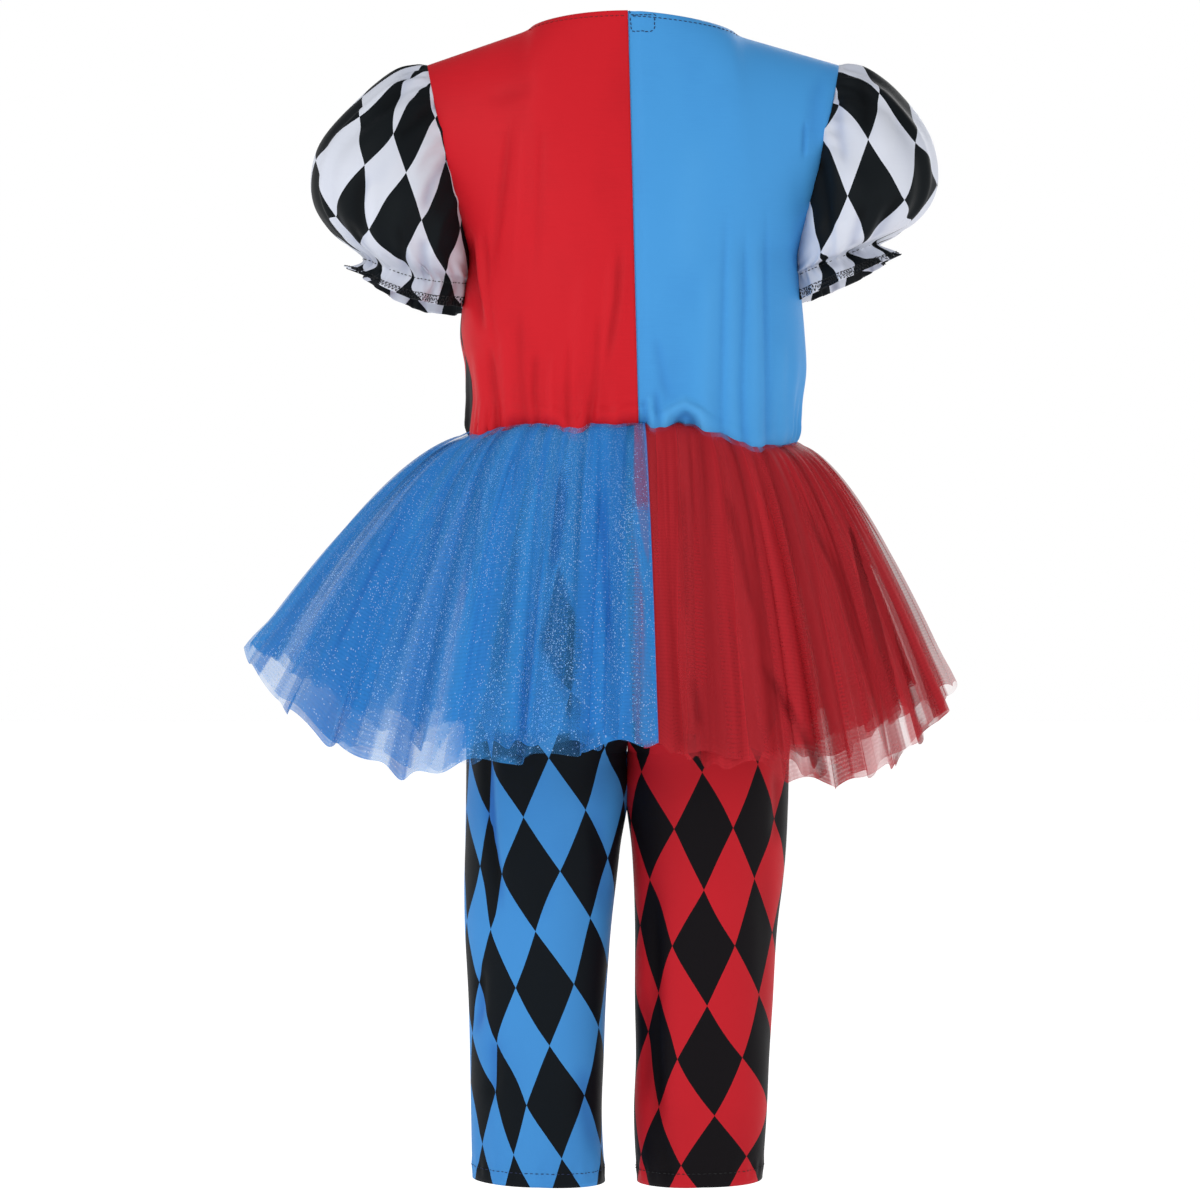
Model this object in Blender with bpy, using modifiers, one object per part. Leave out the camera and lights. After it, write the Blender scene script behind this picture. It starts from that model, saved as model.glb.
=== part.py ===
"""A toddler's harlequin costume in one piece, shaped as it is when worn: a bodice of four panels,
two puffed sleeves with frilled cuffs, a gathered two-layer tulle skirt and diamond-print trousers.

Metres, +Z up. The back of the costume faces -Y and the wearer's left is -X. The origin is where the
wearer's shoulders carry it, level with the neck ends of the two shoulder seams.
"""

import math
from collections import namedtuple

import bmesh
import bpy
import numpy as np
from mathutils import Vector

LEFT, RIGHT = -1, 1
BACK, FRONT = -1, 1

# Driving sizes, for a child 86 to 92 cm tall
NECK_TO_HEM = 0.680
SHOULDER_SPAN = 0.243
NECK_WIDTH = 0.122
ARMHOLE_DROP = 0.112
ARMHOLE_REACH = 0.038
SKIRT_FOLDS = 36
UNDERSKIRT_FOLDS = 22
CUFF_FOLDS = 11
WAIST_FOLDS = 16

# Cloth
SATIN = 0.0012
TULLE = 0.0010
SEAM_GAP = 0.0003
EDGE_SHARE = 0.012
NORMAL_STEP = 1e-3
WELD = 1e-6

# Levels below the shoulders
BACK_NECK_Z = 0.005
HEM_Z = BACK_NECK_Z - NECK_TO_HEM
FRONT_NECK_Z = -0.038
SHOULDER_TIP_Z = -0.020
UNDERARM_Z = SHOULDER_TIP_Z - ARMHOLE_DROP
WAIST_Z = -0.244
CROTCH_Z = -0.424

# Neckline
BACK_NECK_Y = -0.046
FRONT_NECK_Y = 0.050
NECK_SHARE = 0.50

# Bodice
BODY_ROWS = 5
YOKE_ROWS = 6
SHOULDER_ROUNDNESS = 2.6
NAPE_ROUNDNESS = 1.6
ARMHOLE_PULL = 2.5
CENTRE_BACK_TOP_X = -0.0035
CENTRE_BACK_WAIST_X = 0.0024
SHOULDER_SLACK = {LEFT: 0.0, RIGHT: 0.0035}
WAIST_FOLD_DEPTH = 0.0022
WAIST_FOLD_REACH = 0.075
WAIST_GAP = 0.0008
BODY_POWER = 2.3

# Hook-and-loop patch on the inside of the right back panel, beside the opening
PATCH_WIDTH = 0.014
PATCH_HEIGHT = 0.012
PATCH_THICKNESS = 0.0010
PATCH_INSET = 0.0025

RED = (0.560, 0.016, 0.022)
BLUE = (0.068, 0.330, 0.700)
BLACK = (0.010, 0.011, 0.012)
WHITE = (0.740, 0.760, 0.860)
TULLE_BLUE = (0.045, 0.260, 0.610)
TULLE_RED = (0.370, 0.018, 0.026)


def profile(columns, *rows):
    """A smooth curve through a table with named columns: called with a value of the first column,
    it gives the whole row there."""
    Row = namedtuple("Row", columns)
    data = np.array(rows, float)
    slopes = np.gradient(data, data[:, 0], axis=0)

    def at(place):
        place = min(max(place, data[0, 0]), data[-1, 0])
        above = min(int(np.searchsorted(data[:, 0], place, side="right")), len(data) - 1)
        low, high = data[above - 1], data[above]
        span = high[0] - low[0]
        t = (place - low[0]) / span
        bend = slopes[above - 1] * (t - 2 * t**2 + t**3) + slopes[above] * (t**3 - t**2)
        return Row(*(low + (high - low) * (3 * t**2 - 2 * t**3) + bend * span))

    return at


# The body of the bodice, from the waist seam up to the underarm
BODICE = profile(
    "z left right back_depth front_depth",
    (-0.244, 0.0950, 0.0950, 0.0680, 0.0700),
    (-0.234, 0.0975, 0.0972, 0.0725, 0.0740),
    (-0.216, 0.0978, 0.0995, 0.0735, 0.0745),
    (-0.200, 0.0985, 0.1018, 0.0740, 0.0745),
    (-0.180, 0.1020, 0.1012, 0.0745, 0.0745),
    (-0.165, 0.1010, 0.1000, 0.0745, 0.0740),
    (-0.150, 0.0985, 0.0985, 0.0745, 0.0735),
    (-0.132, 0.0970, 0.0970, 0.0735, 0.0720),
)

# How far the waist seam and each side seam wander, by the angle round the body from the centre back
WAIST_LINE = profile(
    "angle z",
    (-180, -0.2430),
    (-120, -0.2415),
    (-90, -0.2400),
    (-62, -0.2405),
    (-42, -0.2390),
    (0, -0.2385),
    (20, -0.2395),
    (38, -0.2465),
    (60, -0.2492),
    (90, -0.2450),
    (130, -0.2430),
    (180, -0.2430),
)

# How far each side seam has slipped towards the back, in degrees, by height
SIDE_SEAM = profile(
    "z left right",
    (-0.250, 15.0, 0.0),
    (-0.210, 18.0, 0.0),
    (-0.165, 6.0, 0.0),
    (-0.132, 0.0, 0.0),
)

# Rings of a sleeve from the frill's edge to the armhole. "out" is the ring's point furthest from the
# body, "in" the one beside it, "sag" how much lower its front and back hang, and "fold" the depth of
# its gathers.
SLEEVE_COLUMNS = "ring out_x out_z in_x in_z half_depth sag fold"
SLEEVES = {
    LEFT: profile(
        SLEEVE_COLUMNS,
        (0.00, 0.1705, -0.1365, 0.1030, -0.1650, 0.0400, 0.0080, 0.0036),
        (0.07, 0.1640, -0.1380, 0.1015, -0.1560, 0.0350, 0.0070, 0.0024),
        (0.14, 0.1570, -0.1345, 0.1003, -0.1490, 0.0310, 0.0060, 0.0012),
        (0.26, 0.1765, -0.1180, 0.1003, -0.1470, 0.0470, 0.0040, 0.0022),
        (0.42, 0.1885, -0.0950, 0.0998, -0.1450, 0.0570, 0.0015, 0.0018),
        (0.56, 0.1850, -0.0690, 0.0996, -0.1430, 0.0600, 0.0000, 0.0012),
        (0.72, 0.1628, -0.0425, 0.0993, -0.1405, 0.0570, 0.0000, 0.0016),
        (0.88, 0.1390, -0.0235, 0.0988, -0.1365, 0.0470, 0.0000, 0.0014),
        (1.00, 0.1220, -0.0195, 0.0978, -0.1325, 0.0382, 0.0000, 0.0000),
    ),
    RIGHT: profile(
        SLEEVE_COLUMNS,
        (0.00, 0.1560, -0.1310, 0.1040, -0.1600, 0.0400, 0.0010, 0.0036),
        (0.07, 0.1500, -0.1300, 0.1025, -0.1520, 0.0350, 0.0010, 0.0024),
        (0.14, 0.1430, -0.1255, 0.1012, -0.1455, 0.0310, 0.0010, 0.0012),
        (0.26, 0.1640, -0.1140, 0.1005, -0.1440, 0.0470, 0.0010, 0.0022),
        (0.42, 0.1780, -0.0920, 0.1000, -0.1425, 0.0570, 0.0000, 0.0018),
        (0.56, 0.1755, -0.0655, 0.0998, -0.1410, 0.0600, 0.0000, 0.0012),
        (0.72, 0.1570, -0.0385, 0.0995, -0.1390, 0.0570, 0.0000, 0.0016),
        (0.88, 0.1370, -0.0230, 0.0990, -0.1355, 0.0470, 0.0000, 0.0014),
        (1.00, 0.1220, -0.0195, 0.0978, -0.1325, 0.0382, 0.0000, 0.0000),
    ),
}

# The trousers from hem to waist. "axis" is the middle of the leg, and 0 where both share the hips.
TROUSER_COLUMNS = "z outer axis back_depth front_depth power"
TROUSERS = {
    LEFT: profile(
        TROUSER_COLUMNS,
        (-0.675, 0.0942, 0.0550, 0.0385, 0.0385, 2.0),
        (-0.636, 0.0948, 0.0562, 0.0390, 0.0390, 2.0),
        (-0.606, 0.0954, 0.0560, 0.0395, 0.0395, 2.0),
        (-0.571, 0.0963, 0.0558, 0.0402, 0.0402, 2.0),
        (-0.524, 0.0986, 0.0552, 0.0430, 0.0425, 2.0),
        (-0.500, 0.0992, 0.0543, 0.0455, 0.0440, 2.0),
        (-0.477, 0.0989, 0.0530, 0.0480, 0.0460, 2.0),
        (-0.455, 0.0986, 0.0514, 0.0515, 0.0485, 2.0),
        (-0.424, 0.0984, 0.05103, 0.0560, 0.0520, 2.0),
        (-0.400, 0.0988, 0.0370, 0.0630, 0.0580, 2.1),
        (-0.370, 0.0990, 0.0190, 0.0690, 0.0650, 2.2),
        (-0.330, 0.0988, 0.0050, 0.0710, 0.0700, 2.3),
        (-0.290, 0.0978, 0.0000, 0.0705, 0.0710, 2.3),
        (-0.244, 0.0950, 0.0000, 0.0680, 0.0700, 2.3),
    ),
    RIGHT: profile(
        TROUSER_COLUMNS,
        (-0.675, 0.0770, 0.0400, 0.0385, 0.0385, 2.0),
        (-0.636, 0.0796, 0.0404, 0.0390, 0.0390, 2.0),
        (-0.606, 0.0809, 0.0416, 0.0395, 0.0395, 2.0),
        (-0.571, 0.0832, 0.0425, 0.0402, 0.0402, 2.0),
        (-0.524, 0.0860, 0.0438, 0.0430, 0.0425, 2.0),
        (-0.500, 0.0886, 0.0445, 0.0455, 0.0440, 2.0),
        (-0.477, 0.0904, 0.0446, 0.0480, 0.0460, 2.0),
        (-0.455, 0.0914, 0.0442, 0.0515, 0.0485, 2.0),
        (-0.424, 0.0924, 0.04455, 0.0560, 0.0520, 2.0),
        (-0.400, 0.0950, 0.0330, 0.0630, 0.0580, 2.1),
        (-0.370, 0.0970, 0.0170, 0.0690, 0.0650, 2.2),
        (-0.330, 0.0980, 0.0045, 0.0710, 0.0700, 2.3),
        (-0.290, 0.0975, 0.0000, 0.0705, 0.0710, 2.3),
        (-0.244, 0.0950, 0.0000, 0.0680, 0.0700, 2.3),
    ),
}
CROTCH_X = -0.0035

LEG_ROWS = 9
HIP_ROWS = 6

# One long soft fold runs down each leg: its angle round the leg, its depth and half its width
LEG_FOLD_ANGLE = {LEFT: -49.0, RIGHT: -42.0}
LEG_FOLD_DEPTH = 0.0030
LEG_FOLD_HALF_ANGLE = 15.0

# The skirt's hem by the angle round the body: how far it stands out from the waist and hangs below it
SKIRT_HEM = profile(
    "angle out drop",
    (-180, 0.056, 0.180),
    (-150, 0.064, 0.178),
    (-120, 0.092, 0.160),
    (-90, 0.123, 0.127),
    (-75, 0.121, 0.143),
    (-60, 0.103, 0.172),
    (-45, 0.080, 0.191),
    (-25, 0.054, 0.186),
    (0, 0.046, 0.179),
    (25, 0.052, 0.187),
    (50, 0.068, 0.186),
    (72, 0.080, 0.161),
    (90, 0.087, 0.149),
    (120, 0.076, 0.166),
    (150, 0.062, 0.178),
    (180, 0.056, 0.180),
)
SKIRT_FOLD_DEPTH = 0.0062
UNDERSKIRT_FOLD_DEPTH = 0.0036
UNDERSKIRT_OUT = 0.74
UNDERSKIRT_DROP = 0.93
SKIRT_OFFSET = 0.0028
UNDERSKIRT_OFFSET = 0.0016
SKIRT_SPLIT = 5.0


def mixed(low, high, share):
    return low + (high - low) * share


def smooth_step(share):
    share = min(max(share, 0.0), 1.0)
    return share * share * (3 - 2 * share)


def signed_power(value, power):
    return math.copysign(abs(value) ** power, value)


def outward(shape, across, up):
    """The unit normal of a shape, which is smooth past its two sides but ends at its top and hem."""
    sideways = shape(across + NORMAL_STEP, up) - shape(across - NORMAL_STEP, up)
    upwards = shape(across, min(up + NORMAL_STEP, 1.0)) - shape(across, max(up - NORMAL_STEP, 0.0))
    return sideways.cross(upwards).normalized()


def oval(centre_x, half_width, back_depth, front_depth, power, angle):
    """A point of a rounded oval in plan. The angle is in degrees, 0 at the back and 90 towards +X."""
    sine, cosine = math.sin(math.radians(angle)), math.cos(math.radians(angle))
    depth = back_depth if cosine > 0 else front_depth
    x = centre_x + half_width * signed_power(sine, 2 / power)
    y = -depth * signed_power(cosine, 2 / power)
    return Vector((x, y))


def body_plan(angle, z):
    row = BODICE(z)
    half_width = row.left if math.sin(math.radians(angle)) < 0 else row.right
    return oval(0, half_width, row.back_depth, row.front_depth, BODY_POWER, angle)


def ring_point(angle, z, gathered=0.0):
    """A point of the bodice's body, with the folds that the waist elastic gathers."""
    plan = body_plan(angle, z)
    above = max(z - WAIST_Z, 0.0)
    swell = smooth_step(above / 0.012) * (1 - smooth_step(above / WAIST_FOLD_REACH))
    fold = gathered * swell * WAIST_FOLD_DEPTH * math.cos(WAIST_FOLDS * math.radians(angle))
    plan *= 1 + fold / plan.length
    return Vector((plan.x, plan.y, z))


def centre_back_angle(z):
    x = mixed(CENTRE_BACK_TOP_X, CENTRE_BACK_WAIST_X, min(z / WAIST_Z, 1.0))
    power = BODY_POWER / 2
    return math.degrees(math.asin(signed_power(x / BODICE(z).right, power)))


def panel_angle(side, face, share, z):
    """The angle of a panel's point: share 0 is the centre back or front, and 1 the side seam."""
    gap = math.degrees(SEAM_GAP / 2 / BODICE(z).left)
    slipped = SIDE_SEAM(z).left if side == LEFT else SIDE_SEAM(z).right
    seam = 90 - slipped
    if face == BACK:
        centre = centre_back_angle(z) + side * gap
        return mixed(centre, side * (seam - gap), share)
    return mixed(side * (180 - gap), side * (seam + gap), share)


def neck_and_shoulder(side, face, share):
    """The top edge of a panel: half the neckline, and then the shoulder seam."""
    centre_x = CENTRE_BACK_TOP_X if face == BACK else 0.0
    neck_x = side * NECK_WIDTH / 2
    seam_y = face * SEAM_GAP / 2
    if share >= NECK_SHARE:
        along = (share - NECK_SHARE) / (1 - NECK_SHARE)
        x = mixed(neck_x, side * SHOULDER_SPAN / 2, along)
        z = mixed(-SHOULDER_SLACK[side], SHOULDER_TIP_Z, along)
        return Vector((x, seam_y, z))
    turn = math.radians(90 * share / NECK_SHARE)
    neck_y = BACK_NECK_Y if face == BACK else FRONT_NECK_Y
    neck_z = BACK_NECK_Z if face == BACK else FRONT_NECK_Z
    start_x = centre_x + side * SEAM_GAP / 2
    x = mixed(start_x, neck_x, math.sin(turn))
    z = neck_z * math.cos(turn) ** 1.4 - SHOULDER_SLACK[side] * math.sin(turn)
    return Vector((x, seam_y + (neck_y - seam_y) * math.cos(turn), z))


def upper_point(side, face, share, rise):
    """A point between the underarm, rise 0, and the neck and shoulder, rise 1."""
    low = ring_point(panel_angle(side, face, share, UNDERARM_Z), UNDERARM_Z)
    high = neck_and_shoulder(side, face, share)
    over_shoulder = smooth_step(share / NECK_SHARE)
    arch = (1 - rise**SHOULDER_ROUNDNESS) ** (1 / SHOULDER_ROUNDNESS)
    stay = mixed(1 - rise**NAPE_ROUNDNESS, arch, over_shoulder)
    point = low.lerp(high, rise)
    point.y = high.y + (low.y - high.y) * stay
    pull = max(share, 0.0) ** ARMHOLE_PULL
    point.y += face * ARMHOLE_REACH * 2 * math.sqrt(rise * (1 - rise)) * pull
    return point


def bodice_point(side, face, share, height):
    """A point of a bodice panel: share runs from the centre to the side, height from waist to top."""
    body_share = BODY_ROWS / (BODY_ROWS + YOKE_ROWS)
    if height <= body_share:
        up = height / body_share
        level = mixed(WAIST_Z, UNDERARM_Z, up)
        angle = panel_angle(side, face, share, level)
        z = mixed(WAIST_LINE(angle).z, UNDERARM_Z, up)
        gathered = smooth_step(share / 0.12) * smooth_step((1 - share) / 0.12)
        point = ring_point(angle, level, gathered)
        return Vector((point.x, point.y, z))
    up = (height - body_share) / (1 - body_share)
    return upper_point(side, face, share, (1 - math.cos(math.pi * up)) / 2)


def bodice_panel(side, face):
    """The panel's shape, its first side on the left as seen from outside."""

    def shape(across, up):
        share = across if side * face == -1 else 1 - across
        return bodice_point(side, face, share, up)

    return shape


def closure_patch(across, up):
    """The hook-and-loop patch, made from the right back panel's own points moved in."""
    share = mixed(0.030, 0.030 + NECK_SHARE * PATCH_WIDTH / NECK_WIDTH * 4 / 3, across)
    reach = BACK_NECK_Z - UNDERARM_Z
    rise = 1 - (PATCH_INSET + PATCH_HEIGHT * (1 - up)) / reach
    yoke = bodice_panel(RIGHT, BACK)
    up = mixed(BODY_ROWS / (BODY_ROWS + YOKE_ROWS), 1.0, math.acos(1 - 2 * rise) / math.pi)
    return yoke(share, up) - outward(yoke, share, up) * (SATIN + 3 * SEAM_GAP)


def sleeve(side):
    """A sleeve's shape from the frill's edge up to the armhole, round its own bent axis."""

    def shape(across, up):
        row = SLEEVES[side](up)
        out = Vector((side * row.out_x, 0, row.out_z))
        near = Vector((side * row.in_x, 0, row.in_z))
        turn = 2 * math.pi * across
        half = (out - near) / 2
        spread = half.normalized() * math.cos(turn) + Vector((0, side * math.sin(turn), 0))
        outside = mixed(0.25, 1.0, (1 + math.cos(turn)) / 2)
        fold = row.fold * outside * math.cos(CUFF_FOLDS * turn)
        point = (out + near) / 2 + half * math.cos(turn)
        point.y += side * row.half_depth * math.sin(turn)
        point.z -= row.sag * math.sin(turn) ** 2
        return point + spread * fold

    return shape


def trouser_half(side):
    """One leg with its half of the hips: open along the centre seams, and a closed tube below them."""

    def shape(across, up):
        leg_share = LEG_ROWS / (LEG_ROWS + HIP_ROWS)
        if up <= leg_share:
            level = mixed(HEM_Z, CROTCH_Z, up / leg_share)
        else:
            turn = math.pi / 2 * (up - leg_share) / (1 - leg_share)
            level = mixed(CROTCH_Z, WAIST_Z, 1 - math.cos(turn))
        row = TROUSERS[side](level)
        axis, outer = side * row.axis, side * row.outer
        radius = abs(outer - axis)
        fall = smooth_step((row.z - WAIST_Z) / (CROTCH_Z - WAIST_Z))
        centre_x = CROTCH_X * fall + side * SEAM_GAP / 2
        reach = min(side * (axis - centre_x) / radius, 1.0)
        if row.z <= CROTCH_Z + WELD:
            reach = 1.0
        past = math.degrees(math.asin(signed_power(reach, row.power / 2)))
        start = -past if side == RIGHT else -180 - past
        angle = start + (180 + 2 * past) * across
        plan = oval(axis, radius, row.back_depth, row.front_depth, row.power, angle)
        below_hips = smooth_step((CROTCH_Z + 0.06 - row.z) / 0.06)
        away = abs(angle - LEG_FOLD_ANGLE[side])
        if away < LEG_FOLD_HALF_ANGLE:
            trough = LEG_FOLD_DEPTH * below_hips * math.cos(math.pi / 2 * away / LEG_FOLD_HALF_ANGLE) ** 2
            middle = Vector((axis, 0))
            plan -= (plan - middle).normalized() * trough
        at_waist = smooth_step((row.z - WAIST_Z + 0.05) / 0.05)
        z = row.z + (WAIST_LINE(angle).z - WAIST_GAP - WAIST_Z) * at_waist
        return Vector((plan.x, plan.y, z))

    return shape


def skirt_base(angle, down, out_scale, drop_scale, offset):
    """A skirt layer without its folds: it stands out from the waist and then falls to the hem."""
    waist = body_plan(angle, WAIST_Z)
    turn = math.radians(angle)
    outward = Vector((math.sin(turn), -math.cos(turn)))
    hem = SKIRT_HEM(angle)
    plan = waist + outward * (offset + hem.out * out_scale * down**0.9)
    top = WAIST_LINE(angle).z - WAIST_GAP - (SKIRT_OFFSET - offset)
    z = top - hem.drop * drop_scale * down**1.5
    return Vector((plan.x, plan.y, z))


def skirt_layer(start, end, folds, depth, out_scale, drop_scale, offset):
    """A gathered layer between two angles, its folds growing from nothing at the waist seam."""

    def plain(across, up):
        return skirt_base(mixed(start, end, across), 1 - up, out_scale, drop_scale, offset)

    def shape(across, up):
        angle = mixed(start, end, across)
        fold = -depth * (1 - up) ** 1.1 * math.cos(folds * math.radians(angle - SKIRT_SPLIT))
        return plain(across, up) + outward(plain, across, up) * fold

    return shape


def cloth_material(name, colour, roughness):
    material = bpy.data.materials.new(name)
    material.use_nodes = True
    shader = material.node_tree.nodes["Principled BSDF"]
    shader.inputs["Base Color"].default_value = (*colour, 1)
    shader.inputs["Roughness"].default_value = roughness
    material.diffuse_color = (*colour, 1)
    return material


def drawn_in(share, count):
    """Draws the first and last of a panel's columns or rows in against its edges, so that the wall's
    cut edges stay square to the cloth."""
    place = share * count
    even = (place - 1) / (count - 2)
    return min(max(even, EDGE_SHARE * place), 1 - EDGE_SHARE * (count - place))


def cloth_panel(name, shape, columns, rows, wall, material, collection, side_seams=True, top_seam=False):
    """A wall of cloth. Its outer face is shape(across, up), across running counterclockwise as seen
    from above and up running towards the neck, each from 0 to 1. Where the two sides of the panel
    meet, it is closed to a tube."""
    builder = bmesh.new()
    bmesh.ops.create_grid(builder, x_segments=columns, y_segments=rows, size=0.5)
    for vertex in builder.verts:
        across, up = vertex.co.x + 0.5, vertex.co.y + 0.5
        if side_seams:
            across = drawn_in(across, columns)
        if top_seam:
            up = drawn_in(up, rows)
        vertex.co = shape(across, up)
    bmesh.ops.remove_doubles(builder, verts=builder.verts, dist=WELD)
    mesh = bpy.data.meshes.new(name)
    builder.to_mesh(mesh)
    builder.free()
    mesh.shade_smooth()
    mesh.materials.append(material)
    panel = bpy.data.objects.new(name, mesh)
    collection.objects.link(panel)
    solidify = panel.modifiers.new("wall", "SOLIDIFY")
    solidify.thickness = wall
    solidify.offset = -1
    solidify.use_even_offset = True
    solidify.use_quality_normals = True
    return panel


def make_bodice(collection, materials):
    for side, face, name, material in (
        (LEFT, BACK, "back_left", "red_satin"),
        (RIGHT, BACK, "back_right", "blue_satin"),
        (LEFT, FRONT, "front_left", "red_black_print"),
        (RIGHT, FRONT, "front_right", "blue_black_print"),
    ):
        rows = BODY_ROWS + YOKE_ROWS + 2
        cloth = materials[material]
        cloth_panel(name, bodice_panel(side, face), 18, rows, SATIN, cloth, collection, top_seam=True)
    cloth_panel("closure_patch", closure_patch, 3, 3, PATCH_THICKNESS, materials["blue_satin"], collection)


def make_sleeves(collection, materials):
    for side, name in ((LEFT, "sleeve_left"), (RIGHT, "sleeve_right")):
        columns = 4 * CUFF_FOLDS
        print_cloth = materials["white_black_print"]
        cloth_panel(name, sleeve(side), columns, 9, SATIN, print_cloth, collection, side_seams=False)


def make_trousers(collection, materials):
    for side, name, material in (
        (LEFT, "trouser_left", "blue_black_print"),
        (RIGHT, "trouser_right", "red_black_print"),
    ):
        rows = LEG_ROWS + HIP_ROWS
        cloth_panel(name, trouser_half(side), 20, rows, SATIN, materials[material], collection)


def make_skirt(collection, materials):
    """Blue on the wearer's left and red on the right, in an outer layer and a shorter inner one."""
    gap = math.degrees(SEAM_GAP / BODICE(WAIST_Z).back_depth) / 2
    for colour, start, end in (
        ("blue", SKIRT_SPLIT - 180 + gap, SKIRT_SPLIT - gap),
        ("red", SKIRT_SPLIT + gap, SKIRT_SPLIT + 180 - gap),
    ):
        outer = skirt_layer(start, end, SKIRT_FOLDS, SKIRT_FOLD_DEPTH, 1.0, 1.0, SKIRT_OFFSET)
        inner = skirt_layer(
            start,
            end,
            UNDERSKIRT_FOLDS,
            UNDERSKIRT_FOLD_DEPTH,
            UNDERSKIRT_OUT,
            UNDERSKIRT_DROP,
            UNDERSKIRT_OFFSET,
        )
        tulle = materials[colour + "_tulle"]
        cloth_panel("skirt_" + colour, outer, 2 * SKIRT_FOLDS + 2, 4, TULLE, tulle, collection)
        cloth_panel("underskirt_" + colour, inner, 2 * UNDERSKIRT_FOLDS + 2, 3, TULLE, tulle, collection)


def main():
    for leftover in list(bpy.data.objects):
        bpy.data.objects.remove(leftover)
    collection = bpy.data.collections.new("harlequin_costume")
    bpy.context.scene.collection.children.link(collection)
    materials = {
        "red_satin": cloth_material("red_satin", RED, 0.42),
        "blue_satin": cloth_material("blue_satin", BLUE, 0.42),
        "red_black_print": cloth_material("red_black_print", RED, 0.55),
        "blue_black_print": cloth_material("blue_black_print", BLUE, 0.55),
        "white_black_print": cloth_material("white_black_print", WHITE, 0.50),
        "blue_tulle": cloth_material("blue_tulle", TULLE_BLUE, 0.60),
        "red_tulle": cloth_material("red_tulle", TULLE_RED, 0.70),
    }
    make_bodice(collection, materials)
    make_sleeves(collection, materials)
    make_trousers(collection, materials)
    make_skirt(collection, materials)


main()
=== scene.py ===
"""The looks of a toddler's harlequin costume: plain satin back panels, printed fronts, puffed sleeves
with frilled cuffs, a two-layer tulle skirt and printed trousers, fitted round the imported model.

Metres, +Z up. The back of the costume faces -Y and the wearer's left is -X.
"""

import logging
import math
from collections import namedtuple
from dataclasses import dataclass, field
from enum import Enum
from functools import cached_property
from typing import Callable, ClassVar, NamedTuple

import bmesh
import bpy
import numpy as np
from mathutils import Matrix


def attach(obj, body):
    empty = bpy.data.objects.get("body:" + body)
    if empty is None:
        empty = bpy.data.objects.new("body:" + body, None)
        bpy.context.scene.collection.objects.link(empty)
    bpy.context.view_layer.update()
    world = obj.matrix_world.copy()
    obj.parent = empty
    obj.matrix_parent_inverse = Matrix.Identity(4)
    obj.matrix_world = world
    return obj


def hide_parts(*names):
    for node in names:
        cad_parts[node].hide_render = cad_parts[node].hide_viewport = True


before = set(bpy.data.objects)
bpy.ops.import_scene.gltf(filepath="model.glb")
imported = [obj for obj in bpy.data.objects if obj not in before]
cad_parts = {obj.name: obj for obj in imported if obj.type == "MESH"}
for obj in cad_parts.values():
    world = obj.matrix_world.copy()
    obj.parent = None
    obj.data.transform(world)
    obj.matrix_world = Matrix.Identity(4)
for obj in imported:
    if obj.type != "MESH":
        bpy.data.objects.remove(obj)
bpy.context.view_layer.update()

Array = np.ndarray
Shape = Callable[[Array, Array], Array]
Spot = tuple[float, float]
LOG = logging.getLogger("harlequin_costume")

MM = 1e-3
WELD = 1e-6
NORMAL_STEP = 1e-3
BODY = "root"
FOLD_SHADE_DEPTH = 3.0 * MM
SATIN_WALL = 0.6 * MM
WHITE = (1.0, 1.0, 1.0, 1.0)


class Side(Enum):
    """The wearer's left and right, as the sign of X."""

    LEFT = -1
    RIGHT = 1


class Face(Enum):
    """The back and front of the body, as the sign of Y."""

    BACK = -1
    FRONT = 1


class Held(Enum):
    """How a cloth is held."""

    HUNG = "hung"
    GATHERED = "gathered"
    STRETCHED = "stretched"


# Levels below the shoulders, from the CAD
BACK_NECK_Z = 0.005
HEM_Z = -0.675
FRONT_NECK_Z = -0.038
SHOULDER_TIP_Z = -0.020
UNDERARM_Z = -0.132
WAIST_Z = -0.244
CROTCH_Z = -0.424

# The bodice's outline, from the CAD
SHOULDER_SPAN = 0.243
NECK_WIDTH = 0.122
BACK_NECK_Y = -0.046
FRONT_NECK_Y = 0.050
ARMHOLE_REACH = 0.038
CENTRE_BACK_TOP_X = -0.0035
CENTRE_BACK_WAIST_X = 0.0024
BODY_POWER = 2.3
SEAM_GAP = 0.0003
SEAM_DROP = 0.0008
CROTCH_X = -0.0035


def mixed(low: Array, high: Array, share: Array) -> Array:
    """The value a share of the way from low to high."""
    return low + (high - low) * share


def smooth_step(share: Array) -> Array:
    """A step from 0 to 1 that starts and ends level."""
    share = np.clip(share, 0.0, 1.0)
    return share * share * (3 - 2 * share)


def signed_power(value: Array, power: Array) -> Array:
    """A power that keeps the value's sign."""
    return np.sign(value) * np.abs(value) ** power


def stacked(*parts: Array) -> Array:
    """Points from their coordinates, the last axis holding x, y and z."""
    return np.stack(np.broadcast_arrays(*parts), axis=-1)


def unit(vectors: Array) -> Array:
    """The vectors at length 1."""
    return vectors / np.maximum(np.linalg.norm(vectors, axis=-1, keepdims=True), 1e-12)


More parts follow.
